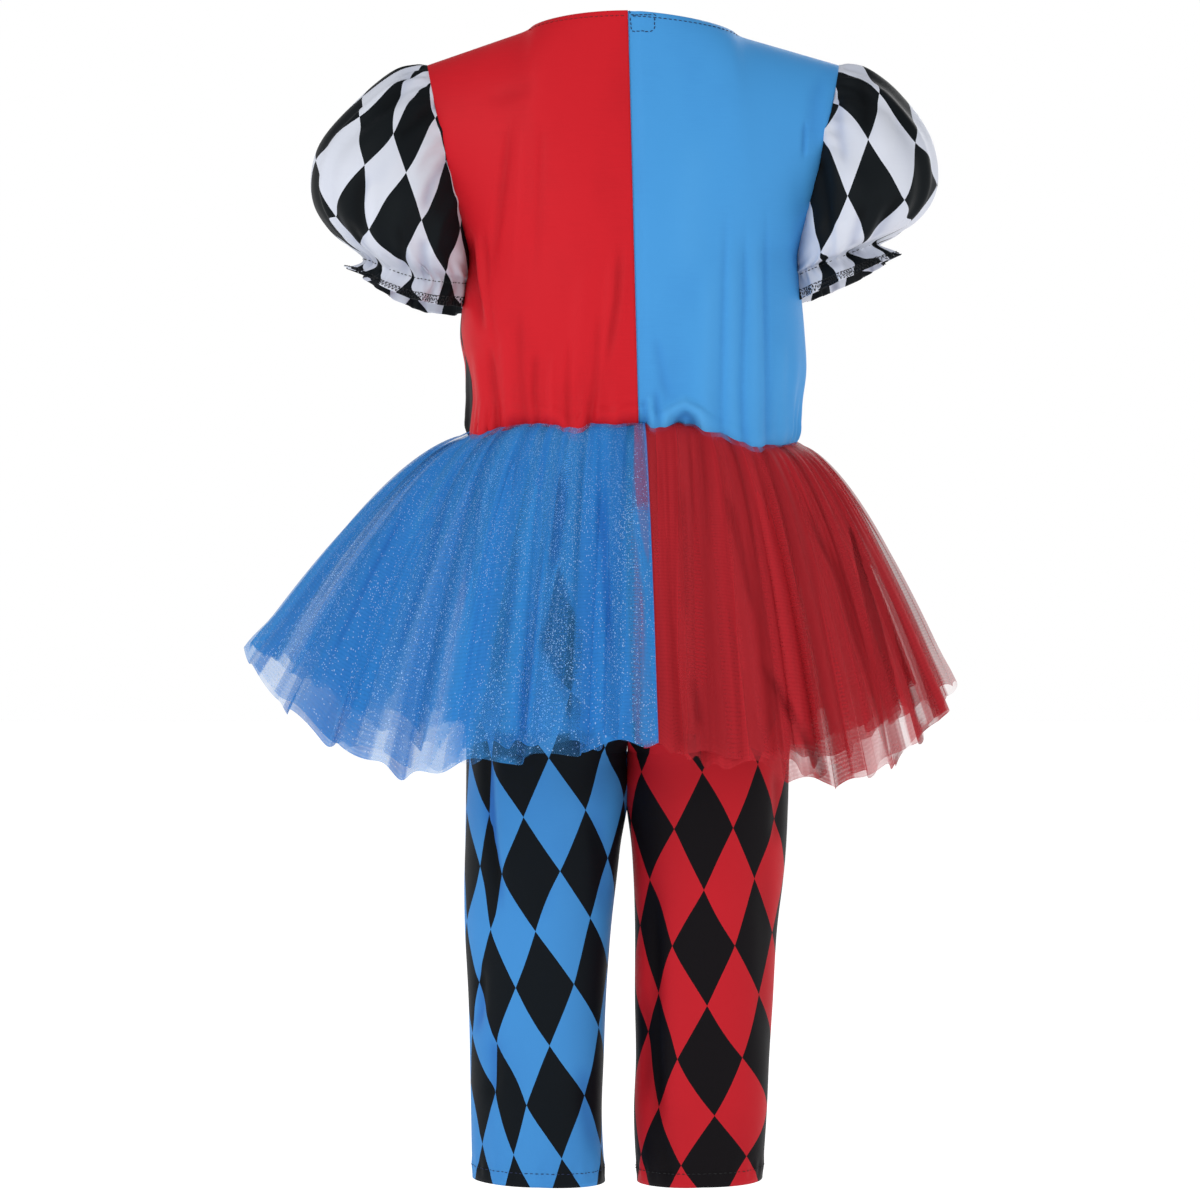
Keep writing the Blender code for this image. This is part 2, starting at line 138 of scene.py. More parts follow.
class Profile:
    """A smooth curve through a table with named columns."""

    def __init__(self, columns: str, *rows: tuple[float, ...]) -> None:
        """Keeps the table and its slopes.

        Args:
            columns: the columns' names, the first one being the place.
            rows: the values, in rising order of place.
        """
        self.row = namedtuple("Row", columns)
        self.data = np.array(rows, float)
        self.slopes = np.gradient(self.data, self.data[:, 0], axis=0)

    def __call__(self, place: Array) -> NamedTuple:
        """Reads the table between its rows.

        Args:
            place: values of the first column.

        Returns:
            One array for each column, at those places.
        """
        place = np.clip(np.asarray(place, float), self.data[0, 0], self.data[-1, 0])
        above = np.minimum(np.searchsorted(self.data[:, 0], place, side="right"), len(self.data) - 1)
        low, high = self.data[above - 1], self.data[above]
        span = high[..., :1] - low[..., :1]
        t = (place[..., None] - low[..., :1]) / span
        bend = self.slopes[above - 1] * (t - 2 * t**2 + t**3) + self.slopes[above] * (t**3 - t**2)
        found = low + (high - low) * (3 * t**2 - 2 * t**3) + bend * span
        return self.row(*np.moveaxis(found, -1, 0))


@dataclass(frozen=True)
class Gathers:
    """Folds side by side round the body or a sleeve, neither evenly spaced nor equally high.

    Args:
        count: folds in a whole turn.
        height: how high they stand.
        unevenness: how far a fold may lie from its even place, in radians of the wave.
        draw: what is added to the seed, so that no two sets on a piece are alike.
    """

    count: int
    height: float = 1.0
    unevenness: float = 0.8
    draw: int = 0
    height_spread: ClassVar[float] = 0.14

    def lift(self, turn: Array, seed: int = 0) -> Array:
        """How high the folds stand.

        Args:
            turn: angles in radians.
            seed: what the unevenness is drawn from.

        Returns:
            The lift at each angle, below zero between the folds.
        """
        random = np.random.default_rng(seed + self.draw)
        phase, height = self.count * turn, 1.0
        for order in range(2, 9):
            strength, start = random.uniform(0.3, 1.0), random.uniform(0, 2 * np.pi)
            phase = phase + self.unevenness * strength * np.sin(order * turn + start)
            strength, start = random.uniform(-1, 1), random.uniform(0, 2 * np.pi)
            height = height + self.height_spread * strength * np.sin((order + 3) * turn + start)
        return self.height * height * np.cos(phase)


def run_of(points: Array) -> Array:
    """How far along a line each of its points is."""
    return np.concatenate([[0.0], np.cumsum(np.linalg.norm(np.diff(points, axis=0), axis=1))])


def read_between(places: Array, run: Array, values: Array) -> Array:
    """Reads values that are known along a line at other places on it."""
    return np.stack([np.interp(places, run, column) for column in values.T], axis=1)


def along_path(spots: Array, path: tuple[Spot, ...]) -> tuple[Array, Array]:
    """Measures spots from a drawn line.

    Args:
        spots: the spots, in the line's own units.
        path: the line's points.

    Returns:
        Each spot's distance from the line, and how far along the line it is, from 0 to 1.
    """
    corners = np.array(path, float)
    lengths = np.linalg.norm(np.diff(corners, axis=0), axis=1)
    nearest, share, run = np.full(len(spots), np.inf), np.zeros(len(spots)), 0.0
    for start, end, length in zip(corners[:-1], corners[1:], lengths):
        step = end - start
        t = np.clip((spots - start) @ step / length**2, 0, 1)
        gap = np.linalg.norm(spots - (start + t[:, None] * step), axis=1)
        closer = gap < nearest
        nearest = np.where(closer, gap, nearest)
        share = np.where(closer, (run + t * length) / lengths.sum(), share)
        run += length
    return nearest, share


def linked(name: str, data: bpy.types.ID) -> bpy.types.Object:
    """Puts something in the scene.

    Args:
        name: its name.
        data: its mesh, light or camera.

    Returns:
        The new object.
    """
    thing = bpy.data.objects.new(name, data)
    bpy.context.scene.collection.objects.link(thing)
    return thing


@dataclass(frozen=True)
class PhotoView:
    """The photograph's view, which turns its pixels into places on the cloth."""

    size: int = 1200
    pixel: float = 0.59 * MM
    origin_x: float = 633.0
    centre_x: float = -0.0195
    centre_z: float = -0.335
    distance: float = 2.0
    sensor: float = 36.0

    def seen(self, points: Array) -> Array:
        """Where the photograph shows points.

        Args:
            points: places in metres.

        Returns:
            Their pixels, x to the right and y down.
        """
        scale = self.distance / (self.distance + points[..., 1])
        across = self.centre_x + (points[..., 0] - self.centre_x) * scale
        down = (self.centre_z - points[..., 2]) * scale
        return np.stack([self.origin_x + across / self.pixel, self.size / 2 + down / self.pixel], axis=-1)

    def make_camera(self) -> None:
        """Sets the camera up level, behind the costume, as the photograph was taken."""
        lens = bpy.data.cameras.new("camera")
        lens.sensor_width = self.sensor
        lens.lens = self.sensor * self.distance / (self.size * self.pixel)
        camera = linked("camera", lens)
        camera.location = (self.centre_x, -self.distance, self.centre_z)
        camera.rotation_euler = (math.pi / 2, 0, 0)
        bpy.context.scene.camera = camera


VIEW = PhotoView()


@dataclass(frozen=True)
class Crease:
    """A fold drawn on the photograph: a ridge where its depth is positive, a trough where it isn't."""

    path: tuple[Spot, ...]
    width: float
    depth: float
    fade_in: float = 0.3
    fade_out: float = 0.3

    def height(self, spots: Array) -> Array:
        """How far the fold lifts the cloth.

        Args:
            spots: the cloth's points as the photograph shows them, in its pixels.

        Returns:
            The lift of each, in metres.
        """
        gap, share = along_path(spots, self.path)
        ends = smooth_step(share / max(self.fade_in, WELD)) if self.fade_in else 1.0
        ends = ends * (smooth_step((1 - share) / self.fade_out) if self.fade_out else 1.0)
        return self.depth * np.exp(-((gap * VIEW.pixel / self.width) ** 2)) * ends


def drawn(width: float, depth: float, *path: Spot, **fades: float) -> Crease:
    """A crease from its width and depth in millimetres and the pixels that it runs through."""
    return Crease(path, width * MM, depth * MM, **fades)


# The body of the bodice, from the waist seam up to the underarm
BODICE = Profile(
    "z left right back_depth front_depth",
    (-0.244, 0.0950, 0.0950, 0.0680, 0.0700),
    (-0.234, 0.0975, 0.0972, 0.0725, 0.0740),
    (-0.216, 0.0978, 0.0995, 0.0735, 0.0745),
    (-0.200, 0.0985, 0.1018, 0.0740, 0.0745),
    (-0.180, 0.1020, 0.1012, 0.0745, 0.0745),
    (-0.165, 0.1010, 0.1000, 0.0745, 0.0740),
    (-0.150, 0.0985, 0.0985, 0.0745, 0.0735),
    (-0.132, 0.0970, 0.0970, 0.0735, 0.0720),
)

# The waist seam of the trousers and skirt, by the angle round the body from the centre back
WAIST_LINE = Profile(
    "angle z",
    (-180, -0.2430),
    (-120, -0.2415),
    (-90, -0.2400),
    (-62, -0.2405),
    (-42, -0.2390),
    (0, -0.2385),
    (20, -0.2395),
    (38, -0.2465),
    (60, -0.2492),
    (90, -0.2450),
    (130, -0.2430),
    (180, -0.2430),
)

# The bodice's lower edge, which blouses over the skirt in scallops
BLOUSED_EDGE = Profile(
    "angle z",
    (-180, -0.2440),
    (-168, -0.2470),
    (-154, -0.2425),
    (-138, -0.2465),
    (-120, -0.2420),
    (-104, -0.2450),
    (-88, -0.2414),
    (-71, -0.2453),
    (-50, -0.2394),
    (-43, -0.2346),
    (-36, -0.2372),
    (-29, -0.2357),
    (-23, -0.2373),
    (-17, -0.2423),
    (-13, -0.2375),
    (-8, -0.2375),
    (-5, -0.2392),
    (-2, -0.2364),
    (1, -0.2353),
    (7, -0.2392),
    (13, -0.2357),
    (18, -0.2380),
    (23, -0.2430),
    (33, -0.2479),
    (41, -0.2508),
    (53, -0.2473),
    (79, -0.2449),
    (96, -0.2475),
    (110, -0.2430),
    (126, -0.2470),
    (142, -0.2425),
    (160, -0.2465),
    (180, -0.2440),
)

# How far each side seam has slipped towards the back, in degrees, by height
SIDE_SEAM = Profile(
    "z left right",
    (-0.250, 15.0, 0.0),
    (-0.210, 18.0, 0.0),
    (-0.165, 6.0, 0.0),
    (-0.132, 0.0, 0.0),
)


def oval(
    centre_x: Array, half_width: Array, back: Array, front: Array, power: Array, angle: Array
) -> tuple[Array, Array]:
    """Points of a rounded oval in plan.

    Args:
        centre_x: the oval's middle.
        half_width: its half width.
        back: its depth towards the back.
        front: its depth towards the front.
        power: 2 for an ellipse, and more for a squarer form.
        angle: degrees from the back, 90 being towards +X.

    Returns:
        The points' x and y.
    """
    sine, cosine = np.sin(np.radians(angle)), np.cos(np.radians(angle))
    depth = np.where(cosine > 0, back, front)
    return centre_x + half_width * signed_power(sine, 2 / power), -depth * signed_power(cosine, 2 / power)


def body_plan(angle: Array, z: Array) -> tuple[Array, Array]:
    """The bodice's outline in plan.

    Args:
        angle: degrees from the back, 90 being towards +X.
        z: the height.

    Returns:
        The points' x and y.
    """
    row = BODICE(z)
    half_width = np.where(np.sin(np.radians(angle)) < 0, row.left, row.right)
    return oval(0.0, half_width, row.back_depth, row.front_depth, BODY_POWER, angle)


def normals_of(shape: Shape, across: Array, up: Array) -> Array:
    """The outward normals of a shape whose across runs counterclockwise as seen from above.

    Args:
        shape: the shape.
        across: places across it, from 0 to 1.
        up: places up it, from 0 to 1.

    Returns:
        A unit vector for each place.
    """
    sideways = shape(across + NORMAL_STEP, up) - shape(across - NORMAL_STEP, up)
    over = shape(across, np.minimum(up + NORMAL_STEP, 1.0)) - shape(across, np.maximum(up - NORMAL_STEP, 0.0))
    return unit(np.cross(sideways, over))


def linear(colour: str) -> tuple[float, float, float, float]:
    """Turns an sRGB hex colour into linear light, with alpha 1."""
    parts = [int(colour[place : place + 2], 16) / 255 for place in (1, 3, 5)]
    return (*(c / 12.92 if c <= 0.04045 else ((c + 0.055) / 1.055) ** 2.4 for c in parts), 1.0)


def add_node(tree: bpy.types.NodeTree, kind: str, settings: dict = {}, links: dict = {}) -> bpy.types.Node:
    """Adds a node with its settings and links.

    Args:
        tree: the material's or world's node tree.
        kind: the node's Blender type.
        settings: its properties, or values of its inputs, by name or number.
        links: sockets that feed its inputs, by name or number.

    Returns:
        The new node.
    """
    node = tree.nodes.new(kind)
    for name, value in settings.items():
        if isinstance(name, str) and name not in node.inputs and hasattr(node, name):
            setattr(node, name, value)
        else:
            node.inputs[name].default_value = value
    for name, socket in links.items():
        tree.links.new(socket, node.inputs[name])
    return node


class FinishShader:
    """The start of every finish's material: its coordinates, noises and Principled shader."""

    def __init__(self, name: str) -> None:
        """Makes a plain material.

        Args:
            name: the material's name.
        """
        self.material = bpy.data.materials.new(name)
        self.material.use_nodes = True
        self.tree = self.material.node_tree
        self.shader = self.tree.nodes["Principled BSDF"]

    @cached_property
    def place(self) -> bpy.types.NodeSocket:
        """The place on the flat cloth, in metres."""
        return self.add("ShaderNodeUVMap", {"uv_map": "cloth"}).outputs["UV"]

    def add(self, kind: str, settings: dict = {}, links: dict = {}) -> bpy.types.Node:
        """Adds a node to this material, as add_node does."""
        return add_node(self.tree, kind, settings, links)

    def math(self, operation: str, *values: object, clamp: bool = False) -> bpy.types.NodeSocket:
        """Works out a value from others.

        Args:
            operation: the Math node's operation.
            values: numbers, or the sockets that give them.
            clamp: whether the result is kept from 0 to 1.

        Returns:
            The socket with the result.
        """
        settings = {"operation": operation, "use_clamp": clamp}
        settings |= {place: value for place, value in enumerate(values) if isinstance(value, (int, float))}
        links = {place: value for place, value in enumerate(values) if not isinstance(value, (int, float))}
        return self.add("ShaderNodeMath", settings, links).outputs[0]

    def total(self, *values: object, clamp: bool = False) -> bpy.types.NodeSocket:
        """Adds values up, and keeps the sum from 0 to 1 if asked.

        Args:
            values: numbers, or the sockets that give them.
            clamp: whether the sum is kept from 0 to 1.

        Returns:
            The socket with the sum.
        """
        result = values[0]
        for place, value in enumerate(values[1:], 2):
            result = self.math("ADD", result, value, clamp=clamp and place == len(values))
        return result

    def swung(self, value: bpy.types.NodeSocket, span: float) -> bpy.types.NodeSocket:
        """A value from 0 to 1, stretched to a span that lies evenly about zero."""
        return self.math("MULTIPLY_ADD", value, span, -span / 2)

    def scaled(self, across: float, along: float) -> bpy.types.NodeSocket:
        """The place on the cloth, counted in steps of a width across and a length along it."""
        steps = {"operation": "MULTIPLY", 1: (1 / across, 1 / along, 1.0)}
        return self.add("ShaderNodeVectorMath", steps, {0: self.place}).outputs[0]

    def noise(self, across: float, along: float, detail: float = 2.0) -> bpy.types.NodeSocket:
        """Soft cloud-like variation whose patches have a width across and a length along the cloth."""
        place = self.scaled(across, along)
        return self.add("ShaderNodeTexNoise", {"Scale": 1.0, "Detail": detail}, {"Vector": place}).outputs[0]

    def mixed(self, share: object, low: object, high: object) -> bpy.types.NodeSocket:
        """A colour between two others.

        Args:
            share: a number or socket, 0 for low and 1 for high.
            low: a colour or socket.
            high: a colour or socket.

        Returns:
            The socket with the mixed colour.
        """
        settings, links = {"data_type": "RGBA"}, {}
        for place, value in ((0, share), (6, low), (7, high)):
            target = settings if isinstance(value, (int, float, tuple)) else links
            target[place] = value
        return self.add("ShaderNodeMix", settings, links).outputs[2]

    def attribute(self, name: str) -> bpy.types.NodeSocket:
        """A value that the mesh carries at each of its points."""
        return self.add("ShaderNodeAttribute", {"attribute_name": name}).outputs["Fac"]

    def bump(self, height: bpy.types.NodeSocket, distance: float, strength: float) -> None:
        """Gives the surface a fine relief.

        Args:
            height: the relief's height, 0 to 1.
            distance: how deep it is, in metres.
            strength: how much of it shows.
        """
        settings = {"Distance": distance, "Strength": strength}
        relief = self.add("ShaderNodeBump", settings, {"Height": height})
        self.tree.links.new(relief.outputs[0], self.shader.inputs["Normal"])

    def feed(self, **sockets: object) -> None:
        """Sets or links the shader's inputs, with an underscore for each space in their names."""
        for name, value in sockets.items():
            target = self.shader.inputs[name.replace("_", " ")]
            if isinstance(value, bpy.types.NodeSocket):
                self.tree.links.new(value, target)
            else:
                target.default_value = value

    def weave(self, thread: float) -> bpy.types.NodeSocket:
        """The over and under of the threads, at a spacing in metres.

        Args:
            thread: the threads' spacing.

        Returns:
            The socket with the threads' height.
        """
        links = {"Vector": self.scaled(thread * 2, thread * 2)}
        threads = {"Scale": 1.0, "Distortion": 0.6, "Detail": 1.0}
        waves = [
            self.add("ShaderNodeTexWave", threads | {"bands_direction": direction}, links).outputs["Fac"]
            for direction in ("X", "Y")
        ]
        return self.math("MULTIPLY", *waves)


@dataclass(frozen=True)
class PolyesterSatin:
    """Polyester satin, woven with long floats and piece-dyed: an even, strong colour and no sharp highlights.
    Painted shade darkens its creases, and a painted highlight, a soft broad gleam, lies on the ridges of its
    folds. Its threads are 0.25 mm apart and are drawn coarser, at 0.9 mm, so that they show."""

    slot: str
    face: str
    # shade is the painted shade in the creases, and the colour after it is the painted highlight on the
    # ridges.
    shade: str
    ridge_highlight: str
    thread: float = 0.9 * MM
    cloud: Spot = (45 * MM, 90 * MM)
    slub: Spot = (14 * MM, 0.8 * MM)
    relief: float = 0.12 * MM
    roughness: float = 0.46

    def make(self) -> bpy.types.Material:
        """Builds the finish.

        Returns:
            The new material.
        """
        cloth = FinishShader(self.slot)
        # Painted shade darkens the creases towards the shade colour; the clouds and slubs are random tone in
        # the dye.
        crease = cloth.attribute("crease")
        clouds = cloth.noise(*self.cloud)
        slubs = cloth.noise(*self.slub)
        depth = cloth.total(crease, cloth.swung(clouds, 0.7), cloth.swung(slubs, 0.22), clamp=True)
        # The ridges, where the crease attribute is below zero, take a painted highlight.
        lift = cloth.math("MULTIPLY", crease, -0.6, clamp=True)
        colour = cloth.mixed(depth, linear(self.face), linear(self.shade))
        colour = cloth.mixed(lift, colour, linear(self.ridge_highlight))
        cloth.bump(cloth.total(cloth.weave(self.thread), slubs), self.relief, 0.35)
        cloth.feed(Base_Color=colour, Roughness=self.roughness, Specular_IOR_Level=0.06)
        return cloth.material


@dataclass(frozen=True)
class HarlequinPrint:
    """Polyester satin printed with tall diamonds, whose edges are crisp at any distance, with a slight bleed
    along the threads. Painted shade darkens the ground and the ink in the creases, and the ink is a little
    lighter away from them, a painted sheen."""

    slot: str
    ground: str
    # shade is the ground's painted shade in the creases, ink is the ink there, and the lighter ink colour
    # away from the creases is a painted sheen.
    shade: str
    ink: str
    painted_ink_sheen: str
    half_width: float
    half_height: float
    thread: float = 0.9 * MM
    cloud: Spot = (40 * MM, 80 * MM)
    slub: Spot = (14 * MM, 0.8 * MM)
    relief: float = 0.10 * MM
    bleed: float = 0.25 * MM
    bleed_grain: float = 0.7 * MM

    def make(self) -> bpy.types.Material:
        """Builds the finish.

        Returns:
            The new material.
        """
        cloth = FinishShader(self.slot)
        ragged = cloth.noise(self.bleed_grain, self.bleed_grain)
        place = cloth.scaled(self.half_width, self.half_height)
        apart = cloth.add("ShaderNodeSeparateXYZ", {}, {0: place}).outputs
        wobble = cloth.math("MULTIPLY_ADD", ragged, self.bleed / self.half_width, 0.0)
        along = cloth.total(apart[0], wobble)
        rising = cloth.math("FLOOR", cloth.math("MULTIPLY", cloth.total(along, apart[1]), 0.5))
        falling = cloth.math("FLOOR", cloth.math("MULTIPLY", cloth.math("SUBTRACT", apart[1], along), 0.5))
        ground = cloth.math("ABSOLUTE", cloth.math("MODULO", cloth.total(rising, falling), 2.0))
        # Painted shade: the creases take the ground to its shade and the ink from its painted sheen to its
        # darker colour; the clouds and slubs are random tone.
        crease = cloth.attribute("crease")
        clouds = cloth.swung(cloth.noise(*self.cloud), 0.8)
        slubs = cloth.noise(*self.slub)
        depth = cloth.total(crease, clouds, cloth.math("MULTIPLY", slubs, 0.1), clamp=True)
        dyed_and_shaded = cloth.mixed(depth, linear(self.ground), linear(self.shade))
        ink_sheen_and_shade = cloth.mixed(depth, linear(self.painted_ink_sheen), linear(self.ink))
        cloth.bump(cloth.total(cloth.weave(self.thread), slubs), self.relief, 0.3)
        cloth.feed(Base_Color=cloth.mixed(ground, ink_sheen_and_shade, dyed_and_shaded), Roughness=0.5, Specular_IOR_Level=0.05)
        return cloth.material


@dataclass(frozen=True)
class Tulle:
    """Nylon tulle, a knitted net of fine threads: one ply is a pale veil with a faint grid of holes, and
    the more plies lie on each other the fuller and darker the colour, and painted shade darkens it in the
    creases. Its mesh is 1.2 mm wide and is drawn coarser, at 1.8 mm, so that it shows. Glitter is flakes
    0.5 mm wide that lie in long drifts, their pale colour a painted glint."""

    slot: str
    veil: str
    full: str
    # deep is the colour of bunched plies, and also the painted shade in the creases.
    deep: str
    cover: float
    glitter: float = 0.0
    # The glitter's pale colour is a painted glint on real flakes.
    glitter_glint_colour: str = "#E6F3FF"
    mesh: float = 1.8 * MM
    streak: Spot = (3.2 * MM, 90 * MM)
    band: Spot = (13 * MM, 280 * MM)
    overlap: Spot = (19 * MM, 420 * MM)
    flake_pitch: float = 1.0 * MM
    flake_share: float = 0.27
    drift: Spot = (8 * MM, 60 * MM)

    def make(self) -> bpy.types.Material:
        """Builds the finish.

        Returns:
            The new material.
        """
        cloth = FinishShader(self.slot)
        crease, streaks = cloth.attribute("crease"), cloth.noise(*self.streak)
        folded = cloth.math("MULTIPLY_ADD", cloth.noise(*self.overlap, 0.0), 16.0, -7.7, clamp=True)
        covered = cloth.math("SUBTRACT", 1.0, self.through(cloth, streaks, folded))
        woven = cloth.math("MULTIPLY_ADD", self.net(cloth), 0.5, 0.72)
        alpha = cloth.math("MULTIPLY", covered, cloth.math("MINIMUM", woven, 1.0))
        colour = cloth.mixed(covered, linear(self.veil), linear(self.full))
        streaked = cloth.total(cloth.math("MULTIPLY", streaks, 0.7), cloth.math("MULTIPLY", folded, 0.5))
        # The creases' painted shade, with the gathers and the folded plies, darkens the colour towards deep.
        depth = cloth.total(crease, cloth.math("SUBTRACT", streaked, 0.45), clamp=True)
        colour = cloth.mixed(depth, colour, linear(self.deep))
        # The glitter flakes are real; their pale colour is a painted glint.
        if self.glitter:
            spark = self.sparks(cloth)
            bright = cloth.math("MULTIPLY", spark, self.glitter)
            colour = cloth.mixed(bright, colour, linear(self.glitter_glint_colour))
            alpha = cloth.math("MAXIMUM", alpha, cloth.math("MULTIPLY", spark, 0.8))
        cloth.feed(Base_Color=colour, Alpha=alpha, Roughness=0.65, Specular_IOR_Level=0.1)
        return cloth.material

    def through(
        self, cloth: FinishShader, streaks: bpy.types.NodeSocket, folded: bpy.types.NodeSocket
    ) -> bpy.types.NodeSocket:
        """How much shows through the plies.

        Args:
            cloth: the material.
            streaks: the narrow gathers, 0 to 1.
            folded: where the net lies folded over itself, 0 to 1.

        Returns:
            The socket with the share, from 0 to 1.
        """
        plies, bands = cloth.attribute("plies"), cloth.noise(*self.band, 1.0)
        drifts = (cloth.swung(streaks, 0.9), cloth.swung(bands, 1.2), cloth.swung(folded, 1.5))
        lain = cloth.total(plies, *drifts)
        lain = cloth.math("MAXIMUM", lain, cloth.math("MULTIPLY", plies, 0.6))
        return cloth.math("POWER", 1 - self.cover, lain)

    def net(self, cloth: FinishShader) -> bpy.types.NodeSocket:
        """The knitted rows and the holes between their threads.

        Args:
            cloth: the material.

        Returns:
            The socket with how thickly the threads lie, 0 to 1.
        """
        knit = {"bands_direction": "Y", "Scale": 1.0, "Distortion": 2.4, "Detail": 2.0, "Detail Scale": 2.5}
        links = {"Vector": cloth.scaled(self.mesh * 3, self.mesh * 3.2)}
        rows = cloth.add("ShaderNodeTexWave", knit, links).outputs["Fac"]
        holes = cloth.noise(self.mesh * 0.6, self.mesh * 0.45)
        return cloth.math("MULTIPLY_ADD", rows, 0.3, cloth.math("MULTIPLY", holes, 0.7))

    def sparks(self, cloth: FinishShader) -> bpy.types.NodeSocket:
        """Where a flake of glitter lies, 1 on it and 0 beside it.

        Args:
            cloth: the material.

        Returns:
            The socket with the flakes.
        """
        links = {"Vector": cloth.scaled(self.flake_pitch, self.flake_pitch)}
        flakes = cloth.add("ShaderNodeTexVoronoi", {"Scale": 1.0, "Randomness": 1.0}, links).outputs
        drift = cloth.math("MULTIPLY_ADD", cloth.noise(*self.drift, 3.0), 1.7, -0.42)
        near = cloth.math("LESS_THAN", flakes["Distance"], self.flake_share)
        luck = cloth.add("ShaderNodeSeparateXYZ", {}, {0: flakes["Color"]}).outputs[0]
        return cloth.math("MULTIPLY", near, cloth.math("GREATER_THAN", drift, luck))


@dataclass(frozen=True)
class SewingThread:
    """Spun polyester sewing thread: matt, a little darker than the cloth that it sinks into."""

    name: str
    colour: str
    twist: float = 900.0
    dark_share: float = 0.6

    def make(self) -> bpy.types.Material:
        """Builds the finish.

        Returns:
            The new material.
        """
        thread = FinishShader(self.name)
        twist = thread.add("ShaderNodeTexNoise", {"Scale": self.twist}).outputs[0]
        dark = (*(channel * self.dark_share for channel in linear(self.colour)[:3]), 1.0)
        thread.feed(Base_Color=thread.mixed(twist, dark, linear(self.colour)), Roughness=0.8)
        return thread.material


@dataclass(frozen=True)
class OpalAcrylic:
    """Opal acrylic sheet, lit from below: an even matt glow with no source to be seen in it."""

    colour: str = "#C4C4C4"
    glow: float = 0.78
    roughness: float = 0.95

    def make(self) -> bpy.types.Material:
        """Builds the finish.

        Returns:
            The new material.
        """
        sheet = FinishShader("opal_acrylic")
        sheet.feed(Base_Color=linear(self.colour), Emission_Color=WHITE, Emission_Strength=self.glow)
        sheet.feed(Roughness=self.roughness)
        return sheet.material


# The prints' diamonds, half their width and height
LEG_DIAMOND = (17.5 * MM, 33.3 * MM)
SLEEVE_DIAMOND = (16.0 * MM, 28.0 * MM)

# Colours in sRGB. Each satin: its colour, its painted shade in the creases and its painted highlight on the
# ridges. Each print: its ground, the ground's painted shade, its ink and the ink's painted sheen. Each tulle:
# its one-ply, full and deep colours, the deep one also its painted shade in the creases.
FINISHES = {
    "red_satin": PolyesterSatin("red_satin", "#C41E28", "#94151E", "#CF2C35"),
    "blue_satin": PolyesterSatin("blue_satin", "#4694D3", "#2F70B8", "#5FA8DE"),
    "red_black_print": HarlequinPrint(
        "red_black_print", "#B8202A", "#8A161E", "#0C0A0C", "#131013", *LEG_DIAMOND
    ),
    "blue_black_print": HarlequinPrint(
        "blue_black_print", "#428ACB", "#2C64B0", "#0A0D10", "#10151A", *LEG_DIAMOND
    ),
    "white_black_print": HarlequinPrint(
        "white_black_print", "#CDD1DC", "#A3ABC2", "#0C0E10", "#14181B", *SLEEVE_DIAMOND
    ),
    "blue_tulle": Tulle("blue_tulle", "#4495DA", "#2F88D3", "#2162B2", 0.56, glitter=0.4),
    "red_tulle": Tulle("red_tulle", "#BC343C", "#B9222C", "#88171F", 0.58),
}
THREADS = {
    "navy_thread": SewingThread("navy_thread", "#1B2A52"),
    "red_thread": SewingThread("red_thread", "#8E141C"),
    "black_thread": SewingThread("black_thread", "#16181B"),
}


class Materials:
    """The finishes as Blender materials, each made once."""

    def __init__(self) -> None:
        """Builds every cloth and thread."""
        self.cloth = {slot: finish.make() for slot, finish in FINISHES.items()}
        self.thread = {name: thread.make() for name, thread in THREADS.items()}


